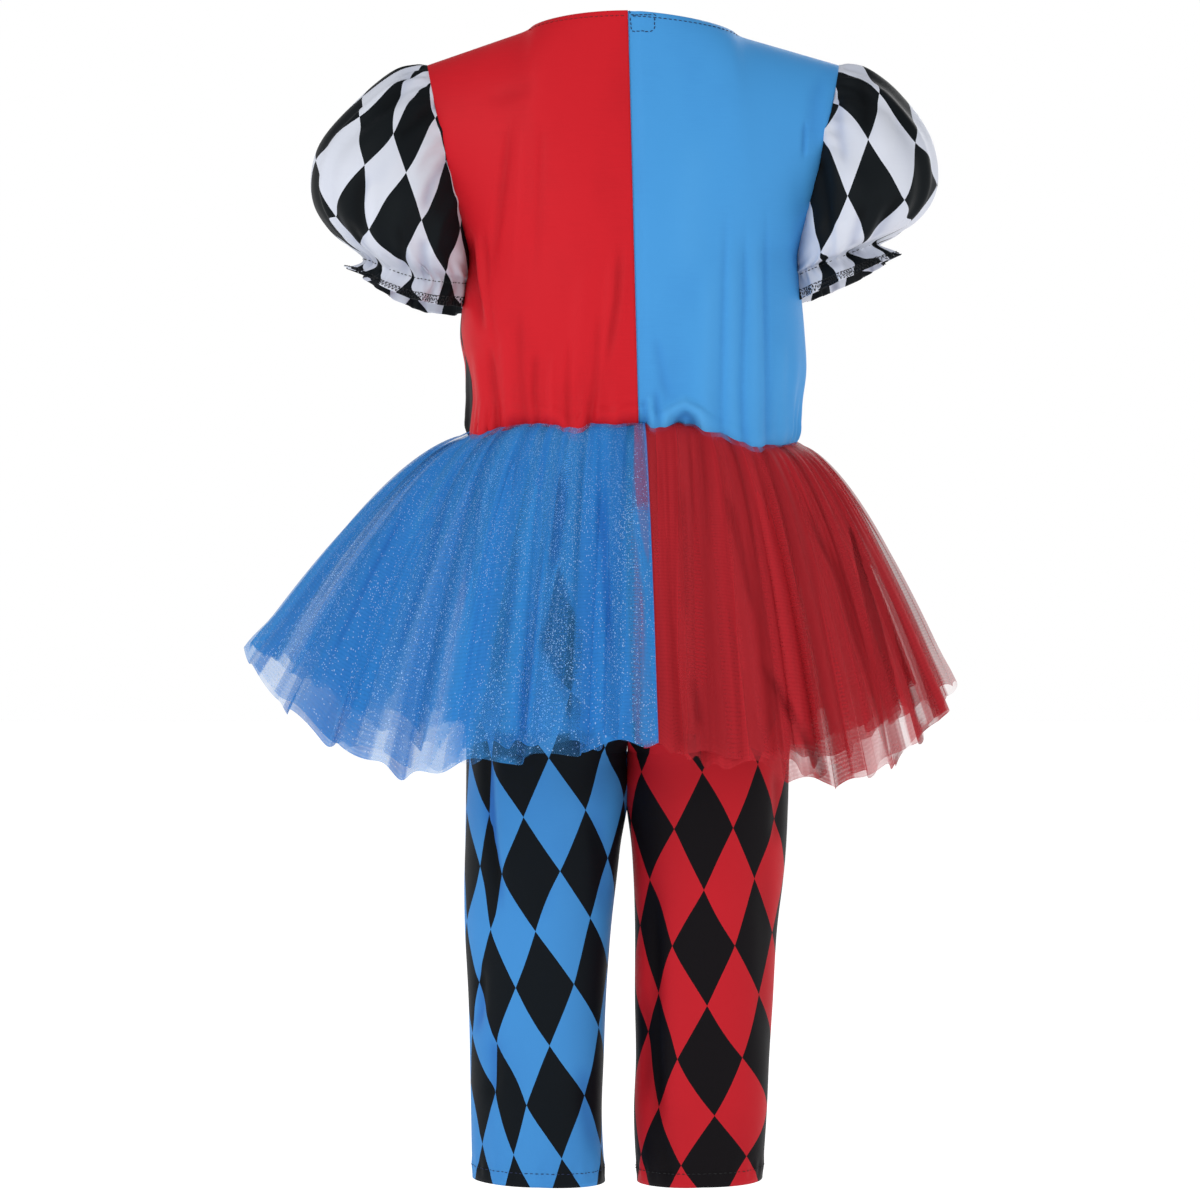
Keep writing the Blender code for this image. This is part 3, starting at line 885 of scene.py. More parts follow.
@dataclass
class ClothGrid:
    """The places of a cloth's points, and what each of them carries. Its faces lie in columns and rows,
    and cloth holds the points' places on the flat cloth, in metres."""

    columns: int
    rows: int
    across: Array
    up: Array
    points: Array
    normals: Array
    cloth: Array
    values: dict[str, Array] = field(default_factory=dict)

    @classmethod
    def of_shape(cls, shape: Shape, columns: int, rows: int) -> "ClothGrid":
        """Lays an even grid over a shape.

        Args:
            shape: the shape.
            columns: faces across.
            rows: faces up.

        Returns:
            The grid, with no cloth coordinates yet.
        """
        across, up = np.meshgrid(np.linspace(0, 1, columns + 1), np.linspace(0, 1, rows + 1))
        across, up = across.ravel(), up.ravel()
        points, normals = shape(across, up), normals_of(shape, across, up)
        return cls(columns, rows, across, up, points, normals, np.zeros((len(up), 2)))

    def soften(self, level: float, reach: float, sideways: bool = False, rounds: int = 70) -> None:
        """Eases a kink out of the cloth.

        Args:
            level: where it is, as a place up the grid, or across it for a kink that runs upwards.
            reach: how far to either side of there the cloth eases.
            sideways: whether the kink runs upwards. It is then kept at the grid's top edge.
            rounds: how often each row is set between its neighbours.
        """
        flat = self.points.reshape(self.rows + 1, self.columns + 1, 3)
        place, other = self.up.reshape(flat.shape[:2]), 1.0
        if sideways:
            flat = flat.transpose(1, 0, 2)
            place, other = self.across.reshape(flat.shape[1::-1]).T, smooth_step((1 - place.T) / 0.06)
        share = (0.5 * np.exp(-(((place - level) / reach) ** 2)) * other)[1:-1, :, None]
        for _ in range(rounds):
            flat[1:-1] += share * ((flat[:-2] + flat[2:]) / 2 - flat[1:-1])
        self.turn_normals()

    def turn_normals(self) -> None:
        """Takes the normals from the points as they now lie."""
        flat = self.points.reshape(self.rows + 1, self.columns + 1, 3)
        normals = np.cross(np.gradient(flat, axis=1), np.gradient(flat, axis=0))
        self.normals = unit(normals.reshape(-1, 3))

    @property
    def spots(self) -> Array:
        """Where the photograph shows the points, in its pixels."""
        return VIEW.seen(self.points)

    def read(self, pixels: list[Spot], values: Array, softness: float) -> Array:
        """Reads values at pixels of the photograph, between the four points that it shows nearest.

        Args:
            pixels: the pixels.
            values: a row for each point of the cloth.
            softness: how far the nearest point's pull is held back, in pixels.

        Returns:
            A row for each pixel.
        """
        spots, facing = self.spots, self.normals[:, 1] < 0
        found = []
        for pixel in pixels:
            gaps = np.where(facing, np.linalg.norm(spots - pixel, axis=1), np.inf)
            near = np.argsort(gaps)[:4]
            weights = 1 / (gaps[near] + softness)
            found.append(weights @ values[near] / weights.sum())
        return np.array(found)

    def crease(self, creases: tuple[Crease, ...], colour_depth: float = FOLD_SHADE_DEPTH) -> None:
        """Folds the cloth along creases that are drawn on the photograph, and on the front likewise, and
        notes their painted shade for the finish.

        Args:
            creases: the folds.
            colour_depth: the depth of a trough that takes the cloth's full painted shade.
        """
        spots = self.spots
        height = sum((crease.height(spots) for crease in creases), np.zeros(len(spots)))
        self.lift(height * smooth_step(np.abs(self.normals[:, 1]) / 0.35), colour_depth)

    def lift(self, height: Array, colour_depth: float = FOLD_SHADE_DEPTH) -> None:
        """Moves the points along their normals, and notes the troughs as painted shade and the ridges as
        painted highlight for the finish.
        """
        self.points = self.points + self.normals * height[:, None]
        # The crease attribute is painted shade in the troughs and painted highlight, below zero, on the
        # ridges.
        self.values["crease"] = self.values.get("crease", 0.0) - height / colour_depth

    def make(self, name: str, thickness: float, material: bpy.types.Material) -> bpy.types.Object:
        """Builds the cloth as an object.

        Args:
            name: its name.
            thickness: the wall's thickness, inwards, or 0 for a single sheet.
            material: its finish.

        Returns:
            The new object.
        """
        builder = bmesh.new()
        bmesh.ops.create_grid(builder, x_segments=self.columns, y_segments=self.rows, size=0.5)
        mesh = bpy.data.meshes.new(name)
        builder.to_mesh(mesh)
        plain = np.zeros(len(mesh.vertices) * 3)
        mesh.vertices.foreach_get("co", plain)
        plain = plain.reshape(-1, 3)
        column = np.rint((plain[:, 0] + 0.5) * self.columns).astype(int)
        row = np.rint((plain[:, 1] + 0.5) * self.rows).astype(int)
        order = row * (self.columns + 1) + column
        mesh.vertices.foreach_set("co", self.points[order].ravel())
        corners = np.zeros(len(mesh.loops), int)
        mesh.loops.foreach_get("vertex_index", corners)
        layer = mesh.uv_layers.new(name="cloth")
        layer.data.foreach_set("uv", self.cloth[order][corners].ravel())
        for key, value in self.values.items():
            attribute = mesh.attributes.new(key, "FLOAT", "POINT")
            attribute.data.foreach_set("value", np.broadcast_to(value, len(order))[order].astype(float))
        builder.clear()
        builder.from_mesh(mesh)
        bmesh.ops.remove_doubles(builder, verts=builder.verts, dist=WELD)
        builder.to_mesh(mesh)
        builder.free()
        mesh.shade_smooth()
        mesh.materials.append(material)
        piece = linked(name, mesh)
        if thickness:
            wall = piece.modifiers.new("wall", "SOLIDIFY")
            wall.thickness = thickness
            wall.offset = -1
            wall.use_quality_normals = True
        return piece


def dressed(
    piece: bpy.types.Object,
    slot: str,
    node: str = "",
    flat: Spot | None = None,
    held: Held = Held.HUNG,
    area: float | None = None,
) -> None:
    """Attaches a piece to the body, hides the CAD part that it stands for, and logs it.

    Args:
        piece: the piece.
        slot: the name of its finish, which is logged.
        node: the CAD node that it stands for, if any.
        flat: a cloth's size as cut, width and length; not used.
        held: how a cloth is held; not used.
        area: the cut's flat area where it isn't a rectangle; not used.
    """
    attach(piece, BODY)
    if node:
        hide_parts(node)
    LOG.info("%s: %d faces, %s", piece.name, len(piece.data.polygons), slot)


@dataclass
class Stitches:
    """Rows of sewn stitches, each stitch a small grain that lies on the cloth.

    Args:
        length: a stitch's length.
        gap: the gap between two.
        radius: the thread's radius.
        proud: how far a stitch's middle stands off the cloth, as a share of the radius.
        rows: the points of each row and the cloth's normals there.
    """

    length: float = 2.4 * MM
    gap: float = 0.6 * MM
    radius: float = 0.32 * MM
    proud: float = 0.4
    rows: list[tuple[Array, Array]] = field(default_factory=list)

    def along(self, points: Array, normals: Array) -> None:
        """Sews a row along points that lie close together on the cloth, with its normals there."""
        self.rows.append((points, normals))

    def over(self, shape: Shape, across: Array, up: Array) -> None:
        """Sews a row over a shape, along places across and up it."""
        self.along(shape(across, up), normals_of(shape, across, up))

    def placed(self, points: Array, normals: Array) -> tuple[Array, Array, Array]:
        """Spaces one row's stitches evenly.

        Args:
            points: the row's points.
            normals: the cloth's normals there.

        Returns:
            The stitches' middles, directions and normals.
        """
        run, pitch, half = run_of(points), self.length + self.gap, self.length / 2
        middles = np.arange(pitch / 2, run[-1] - pitch / 4, pitch)
        ahead = read_between(middles + half, run, points) - read_between(middles - half, run, points)
        return read_between(middles, run, points), unit(ahead), unit(read_between(middles, run, normals))

    def make(self, name: str, material: bpy.types.Material) -> bpy.types.Object:
        """Builds every row as one object.

        Args:
            name: the object's name.
            material: the thread's finish.

        Returns:
            The new object.
        """
        builder = bmesh.new()
        bmesh.ops.create_icosphere(builder, subdivisions=1, radius=1.0)
        grain = np.array([tuple(vertex.co) for vertex in builder.verts])
        faces = np.array([[vertex.index for vertex in face.verts] for face in builder.faces])
        builder.free()
        points, triangles = [], []
        for row in self.rows:
            for middle, ahead, out in zip(*self.placed(*row)):
                beside = np.cross(out, ahead)
                triangles.append(faces + len(grain) * len(points))
                spread = grain[:, :1] * ahead * self.length / 2 + grain[:, 1:2] * beside * self.radius
                raised = out * self.radius * self.proud
                points.append(middle + raised + spread + grain[:, 2:] * out * self.radius)
        mesh = bpy.data.meshes.new(name)
        mesh.from_pydata(np.concatenate(points).tolist(), [], np.concatenate(triangles).tolist())
        mesh.shade_smooth()
        mesh.materials.append(material)
        return linked(name, mesh)


@dataclass(frozen=True)
class PinnedPrint:
    """A harlequin print whose junctions lie where the photograph shows them. A pin's key counts half
    diamonds across and down, and its value is the junction's pixel. Away from the pins, by about the
    reach times trusted, the print lies straight."""

    pins: dict[tuple[float, float], Spot]
    diamond: tuple[float, float]
    reach: float
    stiffness: float = 0.02
    trusted: float = 1.8

    def laid(self, places: Array, grid: ClothGrid) -> Array:
        """Lays the print on a cloth.

        Args:
            places: the cloth's points as measured along it, in metres.
            grid: the cloth.

        Returns:
            The print's own coordinates at each point, in metres of flat cloth.
        """
        pinned, counts = grid.read(list(self.pins.values()), places, 0.1), np.array(list(self.pins), float)

        def pull(spread: Array) -> Array:
            """How strongly each pin bends the print at each place."""
            square = np.sum((spread[:, None] - pinned[None]) ** 2, axis=2) / self.reach**2
            return square * np.log(square + WELD)

        def even(spread: Array) -> Array:
            """The terms of a print that lies straight."""
            return np.column_stack([spread / self.reach, np.ones(len(spread))])

        count = len(pinned)
        matrix = np.zeros((count + 3, count + 3))
        matrix[:count, :count] = pull(pinned) + self.stiffness * np.eye(count)
        matrix[:count, count:] = even(pinned)
        matrix[count:, :count] = even(pinned).T
        weights = np.linalg.solve(matrix, np.vstack([counts, np.zeros((3, 2))]))
        laid = pull(places) @ weights[:count] + even(places) @ weights[count:]
        straight = even(places) @ np.linalg.lstsq(even(pinned), counts, rcond=None)[0]
        gaps = np.linalg.norm(places[:, None] - pinned[None], axis=2).min(axis=1)
        trust = 1 / (1 + (gaps / (self.reach * self.trusted)) ** 4)
        return mixed(straight, laid, trust[:, None]) * self.diamond


@dataclass(frozen=True)
class Scallop:
    """A place where the bloused edge hangs lower: its middle and half width in the photograph's pixels,
    and how far it drops."""

    middle: float
    half_width: float
    drop: float


@dataclass(frozen=True)
class Panel:
    """One of the bodice's four panels, from its bloused waist edge up to the neck and shoulder."""

    side: Side
    face: Face
    slot: str
    length: float
    width: float = 0.155
    cut_share: float = 0.88
    columns: int = 132
    rows: int = 150
    body_share: float = 5 / 11
    neck_share: float = 0.5
    neck_hem: float = 3.3 * MM
    blouse_depth: float = 2.4 * MM
    blouse_height: float = 14 * MM
    waist_gathers: Gathers = Gathers(17, 1.3 * MM, draw=3)
    fine_gathers: Gathers = Gathers(52, 1.0 * MM, 2.0, draw=8)
    placket: float = 0.05
    placket_step: float = 0.7 * MM
    placket_tuck: float = 2.6 * MM
    print_drop: float = 10 * MM
    fold_shade_depth: float = 4.5 * MM
    droop_share: float = 0.12
    droop_outward: float = 0.6
    shoulder_slack: ClassVar[dict[Side, float]] = {Side.LEFT: 0.0, Side.RIGHT: 3.5 * MM}
    scallops: ClassVar[tuple[Scallop, ...]] = (
        Scallop(482, 13, 5.0 * MM),
        Scallop(574, 13, 4.0 * MM),
        Scallop(655, 7, 2.4 * MM),
        Scallop(750, 17, 4.2 * MM),
    )
    creases: ClassVar[dict[Side, tuple[Crease, ...]]] = {
        Side.LEFT: (
            drawn(3, -2.6, (468, 226), (473, 280), (484, 338)),
            drawn(3, 1.7, (476, 222), (481, 280), (492, 338)),
            drawn(2.2, -1.7, (482, 222), (486, 290), (495, 345)),
            drawn(3, -1.2, (512, 105), (503, 180), (489, 292)),
            drawn(3, 0.6, (522, 112), (519, 190), (512, 285)),
            drawn(2.5, -0.5, (543, 108), (540, 200), (533, 300)),
            drawn(2.2, -1.6, (621, 235), (617, 300), (606, 372)),
            drawn(3, 0.8, (614, 245), (609, 310), (598, 380)),
            drawn(5, 0.8, (585, 260), (578, 330), (566, 400)),
            drawn(2.2, -1.0, (600, 300), (597, 360), (590, 424), fade_out=0),
            drawn(2, -1.2, (570, 330), (568, 380), (569, 433), fade_out=0),
            drawn(2.4, 1.1, (552, 350), (550, 390), (553, 428), fade_out=0),
            drawn(2, -1.2, (536, 345), (534, 390), (538, 429), fade_out=0),
            drawn(2.4, -1.0, (519, 300), (520, 370), (526, 428), fade_out=0),
            drawn(3, 1.2, (503, 320), (505, 380), (508, 428), fade_out=0),
            drawn(2, -1.5, (489, 340), (494, 390), (500, 434), fade_out=0),
            drawn(3, 1.4, (474, 345), (482, 395), (486, 440), fade_out=0),
            drawn(5, -0.6, (532, 70), (525, 90), (480, 100)),
        ),
        Side.RIGHT: (
            drawn(1.6, -1.1, (806, 118), (805, 140), (804, 160)),
            drawn(5, -1.0, (826, 66), (817, 96), (812, 150)),
            drawn(5, -0.6, (799, 160), (800, 230), (797, 330)),
            drawn(2, -0.9, (727, 200), (724, 300), (722, 400), (722, 440), fade_out=0),
            drawn(2, -1.2, (746, 212), (745, 300), (742, 390), (744, 450), fade_out=0),
            drawn(2, -1.2, (767, 200), (766, 300), (768, 400), (766, 446), fade_out=0),
            drawn(3.5, 1.0, (756, 220), (756, 320), (756, 450), fade_out=0),
            drawn(3.5, 0.9, (734, 230), (733, 320), (732, 440), fade_out=0),
            drawn(5, 0.9, (712, 250), (708, 340), (706, 438), fade_out=0),
            drawn(
                3.2, 2.1, (661, 434), (668, 412), (684, 403), (699, 412), (708, 436), fade_in=0, fade_out=0
            ),
            drawn(3, -2.2, (676, 434), (680, 422), (686, 416), (691, 422), (694, 434), fade_in=0, fade_out=0),
            drawn(3, -1.0, (655, 330), (664, 380), (672, 404)),
            drawn(1.6, -1.3, (643, 396), (644, 410), (646, 426), fade_out=0),
            drawn(1.6, 1.1, (650, 392), (651, 410), (652, 429), fade_out=0),
            drawn(1.8, -1.4, (656, 385), (658, 408), (661, 431), fade_out=0),
            drawn(1.4, -1.1, (634, 405), (636, 416), (638, 428), fade_out=0),
            drawn(3, 0.9, (783, 330), (782, 390), (781, 445), fade_out=0),
            drawn(10, 0.7, (700, 120), (690, 200), (686, 290)),
        ),
    }

    @property
    def overlaps(self) -> bool:
        """Whether the panel runs on under the other one at the centre back."""
        return self.face is Face.BACK and self.side is Side.RIGHT

    @property
    def runs_outward(self) -> bool:
        """Whether the panel's first side, the left one as seen from outside, is its centre."""
        return self.side.value * self.face.value == -1

    def centre_back_angle(self, z: Array) -> Array:
        """The angle of the centre back opening, which leans a little."""
        x = mixed(CENTRE_BACK_TOP_X, CENTRE_BACK_WAIST_X, np.minimum(z / WAIST_Z, 1.0))
        return np.degrees(np.arcsin(signed_power(x / BODICE(z).right, BODY_POWER / 2)))

    def angle(self, share: Array, z: Array) -> Array:
        """The angle round the body.

        Args:
            share: 0 at the centre and 1 at the side seam.
            z: the height.

        Returns:
            The angle, in degrees from the back.
        """
        row = SIDE_SEAM(z)
        seam = self.side.value * (90 - (row.left if self.side is Side.LEFT else row.right))
        centre = self.centre_back_angle(z) if self.face is Face.BACK else self.side.value * 180.0
        return mixed(centre, seam, share)

    def top_edge(self, share: Array) -> Array:
        """The top edge: half the neckline, and then the shoulder seam.

        Args:
            share: 0 at the centre and 1 at the armhole.

        Returns:
            Its points.
        """
        slack, sign, back = self.shoulder_slack[self.side], self.side.value, self.face is Face.BACK
        seam_y = self.face.value * SEAM_GAP / 2
        along = (share - self.neck_share) / (1 - self.neck_share)
        shoulder = stacked(
            mixed(sign * NECK_WIDTH / 2, sign * SHOULDER_SPAN / 2, along),
            seam_y,
            mixed(-slack, SHOULDER_TIP_Z, along),
        )
        turn = np.radians(90 * np.clip(share / self.neck_share, -0.2, 1))
        cosine, sine = np.maximum(np.cos(turn), 0.0), np.sin(turn)
        neck = stacked(
            mixed(CENTRE_BACK_TOP_X if back else 0.0, sign * NECK_WIDTH / 2, sine),
            seam_y + ((BACK_NECK_Y if back else FRONT_NECK_Y) - seam_y) * cosine,
            (BACK_NECK_Z if back else FRONT_NECK_Z) * cosine**1.4 - slack * np.maximum(sine, 0.0),
        )
        return np.where((share >= self.neck_share)[..., None], shoulder, neck)

    def yoke(self, share: Array, rise: Array) -> Array:
        """The part from the underarm up to the neck and shoulder.

        Args:
            share: 0 at the centre and 1 at the armhole.
            rise: 0 at the underarm and 1 at the top edge.

        Returns:
            Its points.
        """
        level = np.full_like(share, UNDERARM_Z)
        low, high = stacked(*body_plan(self.angle(share, level), level), level), self.top_edge(share)
        arch = (1 - rise**2.6) ** (1 / 2.6)
        stay = mixed(1 - rise**1.6, arch, smooth_step(share / self.neck_share))
        points = mixed(low, high, rise[..., None])
        points[..., 1] = high[..., 1] + (low[..., 1] - high[..., 1]) * stay
        pull = np.maximum(share, 0.0) ** 2.5
        bow = 2 * np.sqrt(np.maximum(rise * (1 - rise), 0))
        points[..., 1] += self.face.value * ARMHOLE_REACH * bow * pull
        return points

    def body(self, share: Array, rise: Array) -> Array:
        """The part from the bloused waist edge up to the underarm.

        Args:
            share: 0 at the centre and 1 at the side seam.
            rise: 0 at the waist and 1 at the underarm.

        Returns:
            Its points.
        """
        level = mixed(WAIST_Z, UNDERARM_Z, rise)
        angle, above = self.angle(share, level), level - WAIST_Z
        x, y = body_plan(angle, level)
        turn = np.radians(angle)
        belly = np.sin(np.pi * np.clip(above / self.blouse_height, 0, 1)) ** 0.8 * self.blouse_depth
        swell = smooth_step(above / 0.010) * (1 - smooth_step(above / 0.075))
        short = smooth_step(above / 0.006) * (1 - smooth_step(above / 0.034))
        away = np.minimum(np.abs(share), np.abs(1 - share)) / 0.1
        gathers = swell * self.waist_gathers.lift(turn) + short * self.fine_gathers.lift(turn)
        out = belly * mixed(0.25, 1.0, np.cos(turn) ** 2) + gathers * smooth_step(away)
        grown = 1 + out / np.hypot(x, y)
        return stacked(x * grown, y * grown, mixed(BLOUSED_EDGE(angle).z, UNDERARM_Z, rise))

    def shape(self, across: Array, up: Array) -> Array:
        """The whole panel.

        Args:
            across: 0 to 1 from its left side as seen from outside.
            up: 0 at the waist and 1 at the top edge.

        Returns:
            Its points.
        """
        share = across if self.runs_outward else 1 - across
        if self.overlaps:
            share = mixed(-self.placket, 1.0, share)
        split = self.body_share
        low = self.body(share, np.minimum(up / split, 1.0))
        over = np.clip((up - split) / (1 - split), 0, 1)
        high = self.yoke(share, (1 - np.cos(np.pi * over)) / 2)
        return np.where((up <= split)[..., None], low, high)

    def cloth_places(self, grid: ClothGrid) -> Array:
        """Measures the panel's points on the flat cloth.

        Args:
            grid: the panel.

        Returns:
            How far across each point is, from the side seam, and how high it is.
        """
        flat = grid.points.reshape(grid.rows + 1, grid.columns + 1, 3)
        steps = np.linalg.norm(np.diff(flat, axis=1), axis=2)
        width = np.concatenate([np.zeros((len(flat), 1)), np.cumsum(steps, axis=1)], axis=1)
        below = np.linspace(0, 1, grid.rows + 1) <= self.body_share
        span = width[below, -1].mean()
        width = width - span if self.runs_outward else width - width[:, -1:] + span
        return np.stack([width.ravel(), grid.points[:, 2] - self.print_drop], axis=1)

    def make(self, materials: Materials) -> ClothGrid:
        """Builds and dresses the panel.

        Args:
            materials: the finishes.

        Returns:
            Its grid, for the stitching.
        """
        grid = ClothGrid.of_shape(self.shape, self.columns, self.rows)
        grid.soften(self.body_share, 0.13)
        grid.soften(self.neck_share, 0.14, sideways=True, rounds=90)
        grid.cloth = self.cloth_places(grid)
        grid.crease(self.creases[self.side], self.fold_shade_depth)
        if self.face is Face.BACK:
            self.droop(grid)
        if self.overlaps:
            share = mixed(-self.placket, 1.0, grid.across)
            tucked = self.placket_step * (1 - smooth_step((share - 0.01) / 0.03))
            tucked = tucked + self.placket_tuck * smooth_step(-share / 0.03)
            grid.points = grid.points - grid.normals * tucked[:, None]
        name = f"{self.face.name}_{self.side.name}".lower()
        piece = grid.make(name + "_cloth", SATIN_WALL, materials.cloth[self.slot])
        area = self.cut_share * self.width * self.length
        dressed(piece, self.slot, name, (self.width, self.length), Held.HUNG, area)
        return grid

    def droop(self, grid: ClothGrid) -> None:
        """Lets a back panel's bloused edge hang over the skirt in its scallops.

        Args:
            grid: the panel.
        """
        low = smooth_step(1 - grid.up / self.droop_share)
        outward = unit(grid.normals * (1.0, 1.0, 0.0))
        for scallop in self.scallops:
            away = (grid.spots[:, 0] - scallop.middle) / scallop.half_width
            hung = scallop.drop * low * np.exp(-(away**2))
            grid.points = grid.points + outward * (self.droop_outward * hung)[:, None]
            grid.points[:, 2] -= hung

    def neck_seam(self) -> tuple[Array, Array]:
        """The line of the neck's hem.

        Returns:
            Points on the panel, and its normals there.
        """
        share = np.linspace(0.01, self.neck_share * 0.98, 120)
        rise = np.full_like(share, 1 - self.neck_hem / (BACK_NECK_Z - UNDERARM_Z))
        points, higher = self.yoke(share, rise), self.yoke(share, rise + 0.004)
        sideways = np.gradient(points, axis=0) * self.side.value * -self.face.value
        return points, unit(np.cross(sideways, higher - points))


@dataclass(frozen=True)
class ClosurePatch:
    """The hook-and-loop square inside the right back panel, its edges thinned."""

    panel: Panel
    width: float = 14 * MM
    height: float = 12 * MM
    start: float = 0.030
    below_neck: float = 2.5 * MM
    inside: float = 2.1 * MM
    pile: float = 0.12 * MM
    wall: float = 0.9 * MM
    columns: int = 24
    rows: int = 20
    seed: int = 5

    def shape(self, across: Array, up: Array) -> Array:
        """The square, inside the panel.

        Args:
            across: 0 to 1 from the side at the centre back.
            up: 0 to 1 from its lower edge.

        Returns:
            Its points.
        """
        panel = self.panel
        end = self.start + panel.neck_share * self.width / NECK_WIDTH * 4 / 3
        share = (mixed(self.start, end, across) + panel.placket) / (1 + panel.placket)
        rise = 1 - (self.below_neck + self.height * (1 - up)) / (BACK_NECK_Z - UNDERARM_Z)
        place = mixed(panel.body_share, 1.0, np.arccos(1 - 2 * rise) / np.pi)
        return panel.shape(share, place) - normals_of(panel.shape, share, place) * self.inside

    def make(self, materials: Materials) -> None:
        """Builds and dresses the square.

        Args:
            materials: the finishes.
        """
        grid = ClothGrid.of_shape(self.shape, self.columns, self.rows)
        grid.cloth = np.stack([grid.across * self.width, grid.up * self.height], axis=1)
        pile = np.random.default_rng(self.seed).uniform(-self.pile, self.pile, len(grid.up))
        for place in (grid.across, grid.up):
            pile = pile * smooth_step(np.minimum(place, 1 - place) / 0.1)
        grid.lift(pile)
        piece = grid.make("closure_patch_pile", self.wall, materials.cloth["blue_satin"])
        dressed(piece, "blue_satin", "closure_patch", (self.width, self.height), Held.STRETCHED)


@dataclass(frozen=True)
class Bodice:
    """The four panels of the bodice, the closure patch and the stitching round the neck."""

    materials: Materials
    back_length: float = 0.250
    front_length: float = 0.225
    closure_seams: ClassVar[tuple[tuple[Spot, ...], ...]] = (
        ((630, 15), (655, 15), (654, 29), (651, 31.5), (634, 31.5), (630.5, 29), (630, 15)),
        ((628.6, 8), (628.6, 17)),
    )

    def make(self) -> None:
        """Builds the whole bodice."""
        panels, grids = {}, {}
        for face, length, slots in (
            (Face.BACK, self.back_length, ("red_satin", "blue_satin")),
            (Face.FRONT, self.front_length, ("red_black_print", "blue_black_print")),
        ):
            for side, slot in zip(Side, slots):
                panels[face, side] = Panel(side, face, slot, length)
                grids[face, side] = panels[face, side].make(self.materials)
        ClosurePatch(panels[Face.BACK, Side.RIGHT]).make(self.materials)
        self.sew(panels, grids[Face.BACK, Side.RIGHT])

    def sew(self, panels: dict[tuple[Face, Side], Panel], right_back: ClothGrid) -> None:
        """Sews the neck's hem, and the closure square to the right back panel.

        Args:
            panels: the four panels.
            right_back: the right back panel's grid.
        """
        for side, thread, slot in (
            (Side.LEFT, "red_thread", "red_satin"),
            (Side.RIGHT, "navy_thread", "blue_satin"),
        ):
            stitches = Stitches()
            for face in Face:
                stitches.along(*panels[face, side].neck_seam())
            for path in self.closure_seams if side is Side.RIGHT else ():
                stitches.along(*self.on_cloth(right_back, path))
            piece = stitches.make(f"neck_stitches_{side.name.lower()}", self.materials.thread[thread])
            dressed(piece, slot)

    def on_cloth(self, grid: ClothGrid, path: tuple[Spot, ...]) -> tuple[Array, Array]:
        """Lays a line that is drawn on the photograph on a cloth.

        Args:
            grid: the cloth.
            path: the line's pixels.

        Returns:
            Points on the cloth, and its normals there.
        """
        corners = np.array(path, float)
        run = run_of(corners)
        pixels = read_between(np.linspace(0, run[-1], max(int(run[-1] * 2), 4)), run, corners)
        return grid.read(pixels, grid.points, 0.2), unit(grid.read(pixels, grid.normals, 0.2))


SLEEVE_COLUMNS = "ring out_x out_z in_x in_z half_depth sag fold"
SLEEVES = {
    Side.LEFT: Profile(
        SLEEVE_COLUMNS,
        (0.00, 0.1640, -0.1400, 0.0970, -0.1632, 0.0400, 0.0080, 0.0036),
        (0.07, 0.1610, -0.1390, 0.0955, -0.1550, 0.0350, 0.0070, 0.0024),
        (0.14, 0.1570, -0.1345, 0.0955, -0.1490, 0.0310, 0.0060, 0.0012),
        (0.26, 0.1765, -0.1180, 0.0950, -0.1470, 0.0470, 0.0040, 0.0022),
        (0.42, 0.1885, -0.0950, 0.0955, -0.1450, 0.0570, 0.0015, 0.0018),
        (0.56, 0.1850, -0.0690, 0.0958, -0.1430, 0.0600, 0.0000, 0.0012),
        (0.72, 0.1628, -0.0425, 0.0953, -0.1405, 0.0570, 0.0000, 0.0016),
        (0.88, 0.1390, -0.0235, 0.0948, -0.1365, 0.0470, 0.0000, 0.0014),
        (1.00, 0.1220, -0.0195, 0.0945, -0.1325, 0.0382, 0.0000, 0.0000),
    ),
    Side.RIGHT: Profile(
        SLEEVE_COLUMNS,
        (0.00, 0.1535, -0.1335, 0.0955, -0.1600, 0.0400, 0.0010, 0.0036),
        (0.07, 0.1500, -0.1300, 0.0950, -0.1520, 0.0350, 0.0010, 0.0024),
        (0.14, 0.1430, -0.1255, 0.0942, -0.1455, 0.0310, 0.0010, 0.0012),
        (0.26, 0.1640, -0.1140, 0.0945, -0.1440, 0.0470, 0.0010, 0.0022),
        (0.42, 0.1780, -0.0920, 0.0950, -0.1425, 0.0570, 0.0000, 0.0018),
        (0.56, 0.1755, -0.0655, 0.0955, -0.1410, 0.0600, 0.0000, 0.0012),
        (0.72, 0.1570, -0.0385, 0.0950, -0.1390, 0.0570, 0.0000, 0.0016),
        (0.88, 0.1370, -0.0230, 0.0945, -0.1355, 0.0470, 0.0000, 0.0014),
        (1.00, 0.1220, -0.0195, 0.0945, -0.1325, 0.0382, 0.0000, 0.0000),
    ),
}


